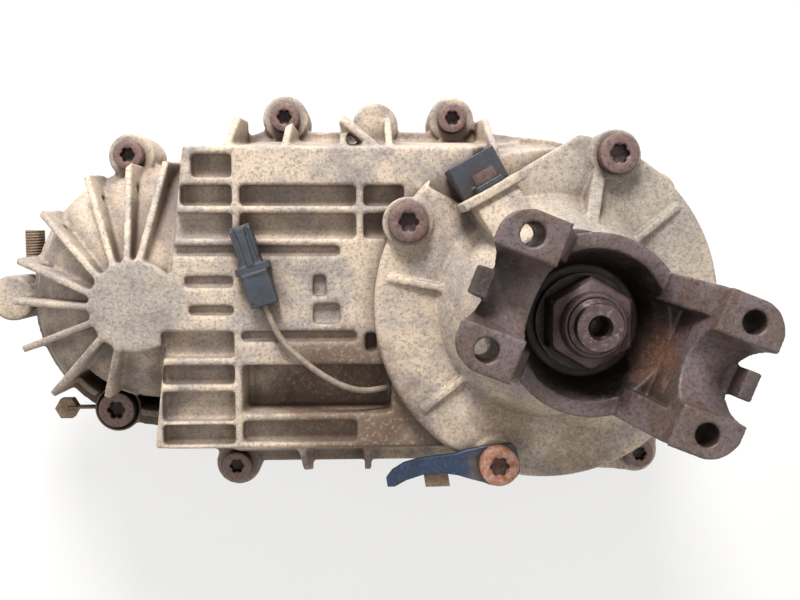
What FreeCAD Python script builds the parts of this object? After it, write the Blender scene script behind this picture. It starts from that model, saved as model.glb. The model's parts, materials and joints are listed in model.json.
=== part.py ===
import FreeCAD
import Part
import math
import os
import Sketcher

# Two-speed transfer case with a chain-driven front output, all in millimetres.
# The main shaft lies on +Z and ends in the rear yoke. The front output shaft is beside it, towards -X.
# The front mounting face, which bolts to the transmission, is z = 0.

SIZES = (
    # drive line
    ("chain_pitch", 12.7, "pin to pin along the chain"),
    ("chain_links", 62, "links in the chain"),
    ("sprocket_teeth", 27, "teeth of both sprockets"),
    ("chain_width", 20, "across the outer plates"),
    ("chain_front", 108, "front side of the chain"),
    ("plate_width", 3, "outer chain plate"),
    ("plate_inside", 1, "plate edge inside the pin line"),
    ("plate_outside", 5.5, "plate edge outside the pin line"),
    ("tooth_depth", 6, "depth of a sprocket tooth"),
    ("run_gap", 0.3, "gap between parts that move past each other"),
    ("fit", 0.05, "radial clearance of a seated or sliding fit"),
    # case halves
    ("split_face", 95, "joint face of the two case halves"),
    ("rear_face", 178, "rear face of the rear case"),
    ("rim_rear", 15, "thickness of the rear case's rim"),
    ("rim_front", 12, "thickness of the front case's rim"),
    ("rim_lip", 5, "rim beyond the wall"),
    ("front_end", 82, "rim radius round the front output"),
    ("main_end", 100, "rim radius round the main shaft"),
    ("belly_top", 103, "rim height above the shafts"),
    ("belly_bottom", 105, "rim depth below the shafts"),
    ("case_wall", 6, "wall of the castings"),
    ("face_top", 86, "upper edge of the rear face"),
    ("face_bottom", 78, "lower edge of the rear face"),
    ("face_left", 213, "left edge of the rear face from the main shaft"),
    ("face_right", 40, "where the rear face runs under the retainer"),
    ("cavity_end", 138, "rear end of the chain space"),
    ("cavity_radius", 68, "chain space round each shaft"),
    ("ear_radius", 14, "bolt ear"),
    ("pad_radius", 25, "round pad over the front output bearing"),
    ("fan_tip", 140, "height of the outer end of a fan rib"),
    ("fan_reach", 82, "outer end of a fan rib from the front output"),
    ("fan_width", 4, "thickness of a fan rib"),
    ("fan_valley", 168, "height of the cone between the fan ribs at the pad"),
    # grid of ribs on the rear face, heights above the main shaft and distances to its left
    ("web", 4, "thickness of a rib"),
    ("line_a", 67.5, "first rib"),
    ("line_b", 52.5, "second rib"),
    ("line_c", 35, "third rib"),
    ("line_d", 27.5, "foot of the long groove"),
    ("line_e", -13.5, "top of the groove under the wire"),
    ("line_f", -30, "long rib above the deep recess"),
    ("line_g", -44.5, "rib in the lower left"),
    ("line_h", -61, "rib under the deep recess"),
    ("column_left", 167.5, "left upright rib"),
    ("column_right", 101, "right upright rib"),
    ("pocket_depth", 8, "pocket between the ribs"),
    ("groove_depth", 4, "shallow groove"),
    ("recess_depth", 27, "deep recess"),
    # case bolts
    ("case_bolt", 4, "shank radius"),
    ("case_head", 8.8, "head radius"),
    ("head_height", 8, "head height"),
    ("bolt_grip", 13, "shank in the front case"),
    ("hole_play", 0.4, "radial play of a bolt in its hole"),
    # flange that bolts to the transmission
    ("mount_radius", 88, "flange radius"),
    ("mount_thick", 14, "flange thickness"),
    ("mount_circle", 78, "bolt circle radius"),
    ("mount_hole", 5.5, "bolt hole radius"),
    ("mount_bolts", 6, "bolt holes"),
    ("barrel", 74, "outer radius of the planetary housing"),
    ("floor_face", 70, "front side of the chain housing"),
    # input shaft and planetary set
    ("input_start", 4, "front end of the input shaft"),
    ("input_journal", 25, "bearing journal radius"),
    ("input_spline", 16, "female spline radius"),
    ("input_seal_radius", 36, "outer radius of the input seal"),
    ("input_seal_width", 9, "width of the input seal"),
    ("input_bearing_front", 19, "front side of the input bearing"),
    ("input_bearing_radius", 40, "outer radius of the input bearing"),
    ("input_bearing_width", 16, "width of the input bearing"),
    ("gear_front", 42, "front side of the sun gear"),
    ("gear_width", 18, "width of the gears"),
    ("gear_module", 1.6, "tooth module"),
    ("sun_teeth", 48, "teeth of the sun gear"),
    ("planet_teeth", 12, "teeth of a planet gear"),
    ("planet_count", 4, "planet gears"),
    ("ring_wall", 5, "ring gear behind its teeth"),
    ("planet_pin", 3.5, "planet pin radius"),
    ("carrier_plate", 3, "front plate of the carrier"),
    ("carrier_back", 6, "rear plate of the carrier"),
    ("dog_radius", 30, "clutch teeth of input shaft and carrier"),
    # range collar, fork and shift drive
    ("shift_travel", 11, "collar travel from high to low"),
    ("collar_nose", 7.5, "length of the collar's clutch teeth"),
    ("collar_barrel", 24, "collar barrel radius"),
    ("groove_radius", 28, "bottom of the fork groove"),
    ("collar_flange", 34, "collar flange radius"),
    ("flange_thick", 3, "collar flange thickness"),
    ("fork_thick", 5, "fork thickness"),
    ("rail_radius", 6, "shift rail radius"),
    ("rail_x", 62, "shift rail left of the main shaft"),
    ("rail_y", 42, "shift rail above the main shaft"),
    ("sector_pin", 4, "crank pin radius"),
    ("shift_shaft", 6, "shift shaft radius"),
    ("motor_face", 74, "height of the motor seat above the main shaft"),
    ("motor_height", 30, "height of the shift motor"),
    # main shaft
    ("pilot_radius", 10, "front pilot"),
    ("shaft_radius", 18, "splined middle"),
    ("rear_journal", 20, "rear bearing journal"),
    ("shaft_end", 283, "rear end of the shaft"),
    ("end_radius", 10, "threaded rear end"),
    ("pump_front", 97.5, "front side of the oil pump"),
    ("pump_width", 8, "oil pump"),
    ("pump_radius", 44, "oil pump"),
    # electromagnetic clutch
    ("clutch_front", 131, "front side of the clutch drum"),
    ("clutch_rear", 164, "rear side of the clutch drum"),
    ("drum_radius", 62, "clutch drum"),
    ("drum_wall", 4, "clutch drum"),
    ("hub_radius", 44, "clutch hub"),
    ("disc_thick", 1.8, "friction disc"),
    ("disc_pairs", 4, "friction and steel disc pairs"),
    ("coil_radius", 50, "clutch coil"),
    ("coil_width", 10, "clutch coil"),
    # rear retainer
    ("retainer_radius", 93.5, "retainer disc"),
    ("retainer_thick", 10, "retainer disc"),
    ("retainer_hub", 46, "retainer hub radius"),
    ("retainer_end", 227, "rear end of the retainer hub"),
    ("retainer_bolt_circle", 88, "retainer bolts from the main shaft"),
    ("retainer_bolt", 5, "shank radius"),
    ("retainer_head", 10.5, "head radius"),
    ("rear_bearing_front", 200, "front side of the rear bearing"),
    ("rear_bearing_radius", 36, "outer radius of the rear bearing"),
    ("rear_bearing_width", 16, "width of the rear bearing"),
    ("tone_radius", 31, "tone ring"),
    ("seal_radius", 34, "rear seal"),
    ("seal_width", 10, "rear seal"),
    ("slinger_radius", 41.5, "slinger"),
    ("slinger_reach", 6, "rear side of the slinger behind the retainer hub"),
    # rear yoke
    ("yoke_turn", -21.3, "degrees that the yoke stands turned"),
    ("yoke_length", 120, "across the ears"),
    ("yoke_width", 66, "width of an ear"),
    ("ear_reach", 58, "rear face of the ears above the floor of the yoke"),
    ("yoke_hole_reach", 46.2, "bolt holes from the axis, along the ears"),
    ("yoke_hole_half", 23.5, "bolt holes from the axis, across"),
    ("yoke_hole", 4.8, "bolt hole radius"),
    ("yoke_boss_height", 24, "threaded boss of a cap bolt"),
    ("yoke_boss_radius", 9, "threaded boss of a cap bolt"),
    ("yoke_opening", 33, "inner face of the ears from the axis"),
    ("cap_radius", 15.1, "seat for a bearing cap"),
    ("hub_outer", 26, "yoke hub radius"),
    ("seat_rise", 8, "floor of the yoke above the foot of its arms"),
    ("washer_radius", 21.8, "washer"),
    ("washer_thick", 5, "washer"),
    ("nut_flats", 36, "across the flats of the yoke nut"),
    ("nut_height", 14, "yoke nut"),
    ("collar_radius", 13, "locking collar of the nut"),
    ("collar_height", 5, "locking collar of the nut"),
    # front output
    ("front_shaft", 17, "front output shaft radius"),
    ("front_bearing_front", 36, "front side of the front bearing"),
    ("front_bearing_radius", 36, "outer radius of the front bearing"),
    ("front_bearing_width", 16, "width of the front bearing"),
    ("front_flange_radius", 54, "companion flange"),
    ("front_flange_thick", 10, "companion flange"),
    ("front_flange_hub", 28, "companion flange hub"),
    ("front_circle", 43, "companion flange bolt circle radius"),
    ("front_hole", 4.2, "companion flange bolt hole radius"),
    ("tail_bearing_front", 146, "front side of the tail bearing"),
    ("tail_bearing_radius", 26, "outer radius of the tail bearing"),
    ("tail_bearing_width", 15, "width of the tail bearing"),
    ("tail_journal", 12.5, "front output shaft in the tail bearing"),
    # loom
    ("wire_radius", 1.65, "clutch wire"),
    ("connector_width", 14.5, "wire connector"),
    ("connector_length", 44, "wire connector"),
    ("connector_height", 9, "wire connector"),
    ("grip_length", 18.5, "wire side of the connector"),
    ("lip_length", 4, "lip between the halves of the connector"),
    ("lip_rise", 2, "lip beyond the sides of the connector"),
    ("mate_inset", 1.5, "side of the mating half inside the grip"),
    ("latch_length", 20, "latch of the connector"),
    ("latch_width", 4, "latch of the connector"),
    ("latch_thick", 1.5, "latch of the connector"),
    ("ear_rise", 3, "bolt ear beyond the rim"),
    ("ear_a_x", 19, "top left ear, left of the front output"),
    ("ear_a_y", 87, "top left ear, above the shafts"),
    ("ear_b_x", 147, "second top ear, left of the main shaft"),
    ("ear_b_y", 110, "second top ear"),
    ("ear_c_x", 45, "third top ear, left of the main shaft"),
    ("ear_c_y", 110, "third top ear"),
    ("ear_d_x", 179, "bottom ear, left of the main shaft"),
    ("ear_d_y", 105, "bottom ear, below the shafts"),
    ("ear_e_x", 76, "lower right ear"),
    ("ear_e_y", 100, "lower right ear, below the shafts"),
    ("ear_f_x", 84, "upper right ear"),
    ("ear_f_y", 65, "upper right ear"),
    ("corner_x", 29, "corner bolt, left of the front output"),
    ("corner_y", 68, "corner bolt, below the shafts"),
    ("corner_head", 11, "head radius of the corner bolt"),
    ("left_ear_x", 94, "left end ear, left of the front output"),
    ("top_ear_x", 92, "ear without a bolt, left of the main shaft"),
    ("top_ear_y", 106, "ear without a bolt"),
    ("dowel_radius", 5, "dowel pin"),
    ("dowel_half", 10, "dowel pin in each half"),
    ("fan_foot", 124, "foot of the cone between the fan ribs"),
    ("pocket_right", 77, "right end of the upper pockets from the main shaft"),
    ("retainer_grip", 28, "retainer bolt thread in the rear case"),
    ("retainer_ear", 13.5, "bolt ear of the retainer"),
    ("retainer_turn_a", 149, "degrees, left retainer bolt"),
    ("retainer_turn_b", 67, "degrees, upper retainer bolt"),
    ("retainer_turn_c", -22, "degrees, right retainer bolt"),
    ("retainer_turn_d", -108, "degrees, lower retainer bolt"),
    ("gusset_reach", 80, "outer end of the tall gusset"),
    ("gusset_turn", 70, "degrees, tall gusset"),
    ("gusset_width", 7, "tall gusset"),
    ("boss_radius", 12, "half width of the sensor boss"),
    ("boss_reach", 72, "outer face of the sensor boss"),
    ("sensor_turn", 119.5, "degrees, direction of the sensor"),
    ("sensor_z", 190, "height of the sensor"),
    ("sensor_radius", 7, "sensor barrel"),
    ("sensor_width", 20, "sensor head"),
    ("sensor_height", 18, "sensor head beyond its boss"),
    ("sensor_screw", 3, "shank radius of the sensor bolt"),
    ("sensor_long", 26, "sensor head, across"),
    ("tab_thick", 3, "tab of the sensor"),
    ("tab_end", 7, "tab and boss beyond the sensor bolt"),
    ("sensor_bolt_rise", 19, "sensor bolt behind the sensor"),
    ("snap_radius", 38.5, "groove of the snap ring"),
    ("snap_thick", 1.6, "snap ring"),
    ("tone_teeth", 24, "teeth of the tone ring"),
    ("tone_width", 8, "tone ring"),
    ("addendum", 0.62, "tooth tip beyond the pitch line, in modules"),
    ("dedendum", 0.9, "tooth root inside the pitch line, in modules"),
    ("pilot_front", 28, "front end of the pilot bore"),
    ("carrier_room", 4.5, "space for the front carrier plate"),
    ("carrier_post", 5, "post between the carrier plates"),
    ("shift_margin", 2.5, "axial clearance of the collar"),
    ("shift_turn", 40, "degrees that the shift shaft turns"),
    ("crank_x", 100, "shift shaft left of the main shaft"),
    ("crank_z", 50, "height of the shift shaft"),
    ("crank_thick", 5, "crank"),
    ("tail_thick", 6, "tail of the fork"),
    ("fork_wall", 11, "outer radius of the fork's hub"),
    ("fork_hub", 14, "length of the fork's hub"),
    ("fork_jaw", 9, "jaw outside the groove"),
    ("fork_mouth", 6, "jaw past the middle of the collar"),
    ("hump_margin", 28, "shift housing round the shift shaft"),
    ("motor_radius", 19, "gear case of the shift motor"),
    ("can_length", 54, "can of the shift motor"),
    ("can_radius", 14, "can of the shift motor"),
    ("rotor_radius", 28, "oil pump rotor"),
    ("pickup_radius", 4, "oil pickup tube"),
    ("pickup_drop", 14, "oil pickup tube"),
    ("strainer_half", 17, "half length of the strainer"),
    ("disc_gap", 0.3, "gap between clutch discs"),
    ("armature_thick", 5, "armature of the clutch"),
    ("yoke_spline", 17, "shaft in the yoke"),
    ("thread_radius", 12, "thread of the yoke nut"),
    ("centre_hole", 4, "centre hole in the shaft end"),
    ("arm_gap", 11, "from the slinger to the foot of the yoke arms"),
    ("cup_radius", 38, "cup of the yoke"),
    ("yoke_round", 64, "round outside of the ears"),
    ("lug_thick", 6.8, "retaining lug of a cap seat"),
    ("lug_half", 6, "half width of a retaining lug"),
    ("lug_drop", 4, "retaining lug below the ear face"),
    ("seal_front", 22, "front side of the front output seal"),
    ("front_seal_radius", 38, "outer radius of the front output seal"),
    ("front_thread", 12, "thread of the front output shaft"),
    ("plug_radius", 8, "oil plug"),
    ("plug_x", 130, "oil plugs left of the main shaft"),
    ("fill_y", 12, "fill plug below the shafts"),
    ("drain_y", 55, "drain plug below the shafts"),
    ("grommet_radius", 4, "grommet"),
    ("grommet_length", 14, "grommet"),
    ("grommet_hole", 45, "hole for the wire, in to the clutch"),
    ("strap_thick", 3, "wire bracket"),
    ("strap_turn", 9, "degrees, slant of the wire bracket"),
    ("strap_width", 22, "wire bracket"),
    ("strap_end", 12, "wire bracket behind its bolt"),
    ("strap_flat", 22, "first bend of the wire bracket from its bolt"),
    ("strap_bend", 40, "second bend of the wire bracket from its bolt"),
    ("strap_reach", 62, "tip of the wire bracket from its bolt"),
    ("strap_drop", 8, "second bend below the seat"),
    ("strap_tip_drop", 18, "tip below the seat"),
    ("race_gap", 0.4, "gap between the races of a bearing"),
    ("coil_inner", 30, "inner radius of coil and armature"),
    ("retainer_head_height", 7, "head of a retainer bolt"),
    ("clip_thick", 1.5, "sheet of the corner clip"),
    ("clip_band", 7, "height of the clip's band and tongue"),
    ("clip_play", 3, "clip outside the head of its bolt"),
    ("tongue_length", 18, "tongue of the corner clip"),
    ("clip_nut", 7, "nut on the corner clip, to its corners"),
    ("corner_head_height", 10, "head of the corner bolt"),
    ("stud_radius", 6, "locating stud"),
    ("stud_length", 24, "locating stud"),
    ("stud_x", 8, "locating stud, right of the left ear"),
    ("stud_y", 42, "upper end of the locating stud"),
    ("head_play", 1.5, "spot face round a bolt head"),
    ("bolt_end", 2, "free thread below a case bolt"),
)

NODES = {}


class Size:
    """A length, angle or count that knows its number and its formula over the sheet."""

    def __init__(self, number, text):
        self.number = number
        self.text = text

    def __float__(self):
        return float(self.number)

    def __int__(self):
        return int(round(self.number))

    def __neg__(self):
        return Size(-self.number, f"(0 - {self.text})")

    def __add__(self, other):
        other = as_size(other)
        return Size(self.number + other.number, f"({self.text} + {other.text})")

    def __sub__(self, other):
        other = as_size(other)
        return Size(self.number - other.number, f"({self.text} - {other.text})")

    def __mul__(self, other):
        other = as_size(other)
        return Size(self.number * other.number, f"({self.text} * {other.text})")

    def __truediv__(self, other):
        other = as_size(other)
        return Size(self.number / other.number, f"({self.text} / {other.text})")

    def __radd__(self, other):
        return as_size(other) + self

    def __rsub__(self, other):
        return as_size(other) - self

    def __rmul__(self, other):
        return as_size(other) * self

    def __rtruediv__(self, other):
        return as_size(other) / self


def as_size(amount):
    """Lets plain numbers stand in a formula beside sheet sizes."""
    if isinstance(amount, Size):
        return amount
    return Size(amount, f"{amount:.6f}")


def cosine(degrees):
    """Cosine of an angle in degrees."""
    angle = as_size(degrees)
    return Size(math.cos(math.radians(angle.number)), f"cos({angle.text} * 1 deg)")


def sine(degrees):
    """Sine of an angle in degrees."""
    angle = as_size(degrees)
    return Size(math.sin(math.radians(angle.number)), f"sin({angle.text} * 1 deg)")


def polar(radius, degrees):
    """Point at a radius and an angle about the main shaft."""
    return radius * cosine(degrees), radius * sine(degrees)


class Sheet:
    """The sizes by name, each one bound to its cell."""


doc = FreeCAD.newDocument("TransferCase")
sheet = doc.addObject("Spreadsheet::Sheet", "Sizes")
k = Sheet()
for row, (alias, amount, note) in enumerate(SIZES, start=1):
    sheet.set(f"A{row}", note)
    sheet.set(f"B{row}", str(amount))
    sheet.setAlias(f"B{row}", alias)
    setattr(k, alias, Size(amount, f"Sizes.{alias}"))
doc.recompute()


# ---------------------------------------------------------------- building blocks

def bind(thing, name, amount):
    """Sets a property and ties it to the sheet."""
    thing.setExpression(name, as_size(amount).text)


def place(thing, at, turn=0, axis=(0, 0, 1)):
    """Puts an object at a bound point, turned about an axis through it."""
    spot = FreeCAD.Vector(float(at[0]), float(at[1]), float(at[2]))
    thing.Placement = FreeCAD.Placement(spot, FreeCAD.Rotation(FreeCAD.Vector(*axis), float(turn)))
    for name, amount in zip("xyz", at):
        if isinstance(amount, Size):
            bind(thing, f"Placement.Base.{name}", amount)
    if isinstance(turn, Size):
        bind(thing, "Placement.Rotation.Angle", turn)
    return thing


def cylinder(radius, height, at, turn=0, axis=(0, 0, 1)):
    """A bound cylinder that stands on its point."""
    thing = doc.addObject("Part::Cylinder", "Cylinder")
    bind(thing, "Radius", radius)
    bind(thing, "Height", height)
    return place(thing, at, turn, axis)


def cone(radius, top_radius, height, at, turn=0, axis=(0, 0, 1)):
    """A bound cone that stands on its point."""
    thing = doc.addObject("Part::Cone", "Cone")
    bind(thing, "Radius1", radius)
    bind(thing, "Radius2", top_radius)
    bind(thing, "Height", height)
    return place(thing, at, turn, axis)


def box(length, width, height, at, turn=0, axis=(0, 0, 1)):
    """A bound box with its least corner at the point."""
    thing = doc.addObject("Part::Box", "Box")
    bind(thing, "Length", length)
    bind(thing, "Width", width)
    bind(thing, "Height", height)
    return place(thing, at, turn, axis)


def block(x_range, y_range, z_range):
    """A bound box between pairs of planes."""
    size = [end - start for start, end in (x_range, y_range, z_range)]
    return box(*size, (x_range[0], y_range[0], z_range[0]))


def prism(sides, radius, height, at, turn=0, axis=(0, 0, 1)):
    """A bound regular prism."""
    thing = doc.addObject("Part::Prism", "Prism")
    thing.Polygon = sides
    bind(thing, "Circumradius", radius)
    bind(thing, "Height", height)
    return place(thing, at, turn, axis)


def wedge(base, top, height, at, turn=0):
    """A block whose base and top are different rectangles, each (x0, x1, y0, y1) about the point."""
    thing = doc.addObject("Part::Wedge", "Wedge")
    bind(thing, "Ymin", 0)
    bind(thing, "Ymax", height)
    for end, (left, right, low, high) in (("", base), ("2", top)):
        bind(thing, f"X{end}min", left)
        bind(thing, f"X{end}max", right)
        bind(thing, f"Z{end}min", 0 - as_size(high))
        bind(thing, f"Z{end}max", 0 - as_size(low))
    stand = FreeCAD.Rotation(FreeCAD.Vector(1, 0, 0), 90)
    spin_round = FreeCAD.Rotation(FreeCAD.Vector(0, 0, 1), float(turn))
    spot = FreeCAD.Vector(*(float(v) for v in at))
    thing.Placement = FreeCAD.Placement(spot, spin_round * stand)
    for name, amount in zip("xyz", at):
        if isinstance(amount, Size):
            bind(thing, f"Placement.Base.{name}", amount)
    return thing


def fuse(*things):
    """Joins solids into one."""
    thing = doc.addObject("Part::MultiFuse", "Fuse")
    thing.Shapes = list(things)
    thing.Refine = True
    return thing


def cut(base, *tools):
    """Takes tools out of a solid."""
    thing = doc.addObject("Part::Cut", "Cut")
    thing.Base = base
    thing.Tool = tools[0] if len(tools) == 1 else fuse(*tools)
    thing.Refine = True
    return thing


def common(first, second):
    """Keeps what two solids share."""
    thing = doc.addObject("Part::MultiCommon", "Common")
    thing.Shapes = [first, second]
    return thing


def group(things):
    """Keeps separate solids together in one node."""
    thing = doc.addObject("Part::Compound", "Group")
    thing.Links = list(things)
    return thing


def sketch(body, plane, outline, lift=0):
    """A closed outline of (x, y) points; a third number is the radius of the arc to the next point."""
    face = [item for item in body.Origin.OriginFeatures if item.Role == plane][0]
    drawing = body.newObject("Sketcher::SketchObject", "Outline")
    drawing.AttachmentSupport = [(face, "")]
    drawing.MapMode = "FlatFace"
    if isinstance(lift, Size):
        bind(drawing, "AttachmentOffset.Base.z", lift)
    points = [FreeCAD.Vector(float(p[0]), float(p[1]), 0) for p in outline]
    count = len(points)
    rules = []
    bound = []
    for i, corner in enumerate(outline):
        start, end = points[i], points[(i + 1) % count]
        if len(corner) < 3:
            drawing.addGeometry(Part.LineSegment(start, end), False)
            continue
        bulge = float(corner[2])
        half = (end - start) / 2
        rise = math.sqrt(max(bulge * bulge - half.Length ** 2, 0))
        normal = FreeCAD.Vector(-half.y, half.x, 0).normalize()
        side = 1 if bulge > 0 else -1
        centre = start + half + normal * (rise * side)
        middle = centre - normal * (abs(bulge) * side)
        drawing.addGeometry(Part.Arc(start, middle, end), False)
    starts = []
    for i, corner in enumerate(outline):
        arc_turns_left = len(corner) < 3 or float(corner[2]) > 0
        starts.append(1 if arc_turns_left else 2)
    for i, corner in enumerate(outline):
        following = (i + 1) % count
        rules.append(Sketcher.Constraint("Coincident", i, 3 - starts[i], following, starts[following]))
    for i, corner in enumerate(outline):
        for kind, amount in (("DistanceX", corner[0]), ("DistanceY", corner[1])):
            bound.append((len(rules), as_size(amount)))
            rules.append(Sketcher.Constraint(kind, -1, 1, i, starts[i], float(amount)))
        if len(corner) == 3:
            reach = corner[2] if float(corner[2]) > 0 else 0 - corner[2]
            bound.append((len(rules), as_size(reach)))
            rules.append(Sketcher.Constraint("Radius", i, float(reach)))
    drawing.addConstraint(rules)
    for index, amount in bound:
        drawing.setExpression(f"Constraints[{index}]", amount.text)
    return drawing


def spin(profile, at=(0, 0, 0)):
    """A body turned about Z from an outline of (radius, height) points."""
    body = doc.addObject("PartDesign::Body", "Turned")
    drawing = sketch(body, "XZ_Plane", profile)
    feature = body.newObject("PartDesign::Revolution", "Revolution")
    feature.Profile = drawing
    feature.ReferenceAxis = (drawing, ["V_Axis"])
    feature.Angle = 360
    drawing.Visibility = False
    return place(body, at)


def ring(inner, outer, bottom, top, at=(0, 0, 0)):
    """A plain ring or disc."""
    return spin(((inner, bottom), (outer, bottom), (outer, top), (inner, top)), at)


def pad(outline, bottom, top, plane="XY_Plane", at=(0, 0, 0), turn=0, both=False, axis=(0, 0, 1)):
    """A body padded from an outline; on the XZ plane it is as thick as top - bottom, about the plane."""
    body = doc.addObject("PartDesign::Body", "Padded")
    drawing = sketch(body, plane, outline)
    feature = body.newObject("PartDesign::Pad", "Pad")
    feature.Profile = drawing
    feature.Midplane = both
    bind(feature, "Length", as_size(top) - bottom)
    drawing.Visibility = False
    spot = list(at)
    if not both:
        spot[2] = as_size(at[2]) + bottom
    return place(body, spot, turn, axis)


def loft(low_outline, high_outline, low, high):
    """A body that runs straight from one outline to another above it."""
    body = doc.addObject("PartDesign::Body", "Lofted")
    first = sketch(body, "XY_Plane", low_outline, as_size(low))
    second = sketch(body, "XY_Plane", high_outline, as_size(high))
    feature = body.newObject("PartDesign::AdditiveLoft", "Loft")
    feature.Profile = first
    feature.Sections = [second]
    feature.Ruled = True
    return body


def solid(shape):
    """A shape worked out in code, for teeth, chain plates and the wire."""
    thing = doc.addObject("Part::Feature", "Worked")
    thing.Shape = shape
    return thing


def node(name, thing):
    """Names a finished sub-part."""
    thing.Label = name
    NODES[name] = thing
    return thing


# ---------------------------------------------------------------- places worked out from the sizes

SPACING = (k.chain_links - k.sprocket_teeth) * k.chain_pitch / 2
FRONT_X = 0 - SPACING
MAIN = (0, 0, 0)
FRONT = (FRONT_X, 0, 0)
FLOOR_TOP = k.floor_face + k.case_wall
EAR_TOP = k.split_face + k.rim_rear + k.ear_rise
EAR_BOTTOM = k.split_face - k.rim_front - k.ear_rise
CHAIN_REAR = k.chain_front + k.chain_width
PITCH_RADIUS = k.chain_pitch / (2 * sine(180 / k.sprocket_teeth))
TOOTH_TIP = PITCH_RADIUS * cosine(180 / k.sprocket_teeth) - k.plate_inside - k.run_gap
GEAR_REAR = k.gear_front + k.gear_width
SUN_PITCH = k.gear_module * k.sun_teeth / 2
PLANET_PITCH = k.gear_module * k.planet_teeth / 2
RING_PITCH = SUN_PITCH + 2 * PLANET_PITCH
CARRIER_RADIUS = SUN_PITCH + PLANET_PITCH
RING_OUTER = RING_PITCH + k.gear_module + k.ring_wall
CARRIER_REAR = GEAR_REAR + k.run_gap
NOSE_REAR = GEAR_REAR - k.shift_margin
NOSE_FRONT = NOSE_REAR - k.collar_nose
COLLAR_FLANGE = CARRIER_REAR + k.carrier_back + k.shift_margin
FORK_FRONT = COLLAR_FLANGE + k.flange_thick + k.run_gap
COLLAR_END = FORK_FRONT + k.fork_thick + k.run_gap + k.flange_thick
RAIL = (0 - k.rail_x, k.rail_y)
CRANK_ARM = k.shift_travel / (2 * sine(k.shift_turn / 2))
CRANK_X = 0 - k.crank_x
PIN_X = CRANK_X + CRANK_ARM * cosine(k.shift_turn / 2)
PIN_Z = k.crank_z - k.shift_travel / 2
TAIL_TOP = k.rail_y + k.tail_thick / 2
RETAINER_TOP = k.rear_face + k.retainer_thick
BEARING_REAR = k.rear_bearing_front + k.rear_bearing_width
SENSOR_BOLT_Z = k.sensor_z + k.sensor_bolt_rise
TONE_FRONT = k.sensor_z - k.tone_width / 2
SLINGER_FACE = k.retainer_end + k.slinger_reach
ARM_FOOT = SLINGER_FACE + k.arm_gap
NUT_SEAT = ARM_FOOT + k.seat_rise
YOKE_FACE = NUT_SEAT + k.ear_reach
WASHER_TOP = NUT_SEAT + k.washer_thick
NUT_TOP = WASHER_TOP + k.nut_height
RECESS_FLOOR = k.rear_face - k.recess_depth
TAIL_REAR = k.tail_bearing_front + k.tail_bearing_width
PICKUP_TOP = k.pump_radius + k.run_gap
PACK_FRONT = k.clutch_front + k.drum_wall + 2
PACK_REAR = PACK_FRONT + 2 * k.disc_pairs * (k.disc_thick + k.disc_gap)
FLANGE_FRONT = 1
FLANGE_SEAT = k.front_flange_thick + 1

# directions of the fan ribs about the front output, and the ribs on the upper and lower walls from the left
FAN_TURNS = (84, 99, 117, 141, 163, 180, 200, 222, 246)
TOP_RIBS = (172, 141, 110, 85, 28)
BOTTOM_RIBS = (134, 97)

# route of the clutch wire from its grommet to the connector
WIRE = (
    (-86.5, -46.0, 171.0),
    (-95.5, -47.2, 175.2),
    (-105.0, -45.4, 179.8),
    (-115.5, -40.6, 182.6),
    (-126.0, -33.5, 183.4),
    (-135.0, -26.2, 183.2),
    (-143.3, -17.6, 182.9),
    (-148.6, -8.0, 182.8),
    (-151.6, 1.5, 182.8),
)

# case bolts as (x, y): along the top from the left, then the bottom, the lower right and the left end
CASE_EARS = (
    (FRONT_X - k.ear_a_x, k.ear_a_y),
    (0 - k.ear_b_x, k.ear_b_y),
    (0 - k.ear_c_x, k.ear_c_y),
    (0 - k.ear_d_x, 0 - k.ear_d_y),
    (k.ear_e_x, 0 - k.ear_e_y),
    (k.ear_f_x, k.ear_f_y),
)
CORNER = (FRONT_X - k.corner_x, 0 - k.corner_y)
LEFT_EAR = (FRONT_X - k.left_ear_x, 0)
TOP_EAR = (0 - k.top_ear_x, k.top_ear_y)
DOWELS = (LEFT_EAR, TOP_EAR)
PLUGS = ((0 - k.plug_x, 0 - k.fill_y), (0 - k.plug_x, 0 - k.drain_y))
RETAINER_BOLTS = [
    polar(k.retainer_bolt_circle, turn)
    for turn in (k.retainer_turn_a, k.retainer_turn_b, k.retainer_turn_c, k.retainer_turn_d)
]

# trimmed edge of the retainer beside the sensor: distance from the main shaft, and direction in degrees
RETAINER_TRIM = (
    (k.retainer_radius - 3, 135),
    (k.boss_reach - 4.5, 128.4),
    (k.boss_reach + 4.1, 99.8),
    (k.retainer_radius + 5.8, 76.3),
    (k.retainer_radius + 27, 85.2),
    (k.retainer_radius + 32, 118.6),
)


def screw(at, shank, length, head, tall):
    """A round-headed bolt with a socket; its point is the underside of the head."""
    x, y, z = at
    body = fuse(cylinder(head, tall, at), cylinder(shank, length + 1, (x, y, z - length)))
    socket = prism(6, head * 0.5, tall * 0.6, (x, y, z + tall * 0.5))
    return cut(body, socket)


def rib(profile, thick, at=MAIN, turn=0):
    """An upright plate from a profile of (distance, height) points, turned about its own axis."""
    return pad(profile, 0, thick, "XZ_Plane", at, turn, True)


def lay_outward(thing, turn):
    """Tips a piece built on Z so that it points straight out from the main shaft."""
    across = (0 - sine(turn), cosine(turn))
    axis = FreeCAD.Vector(float(across[0]), float(across[1]), 0)
    thing.Placement = FreeCAD.Placement(thing.Placement.Base, FreeCAD.Rotation(axis, 90))
    bind(thing, "Placement.Rotation.Axis.x", across[0])
    bind(thing, "Placement.Rotation.Axis.y", across[1])
    return thing


def spoke(radius, start, end, turn, height):
    """A cylinder that points straight out from the main shaft."""
    return lay_outward(cylinder(radius, as_size(end) - start, (*polar(start, turn), height)), turn)


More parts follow.
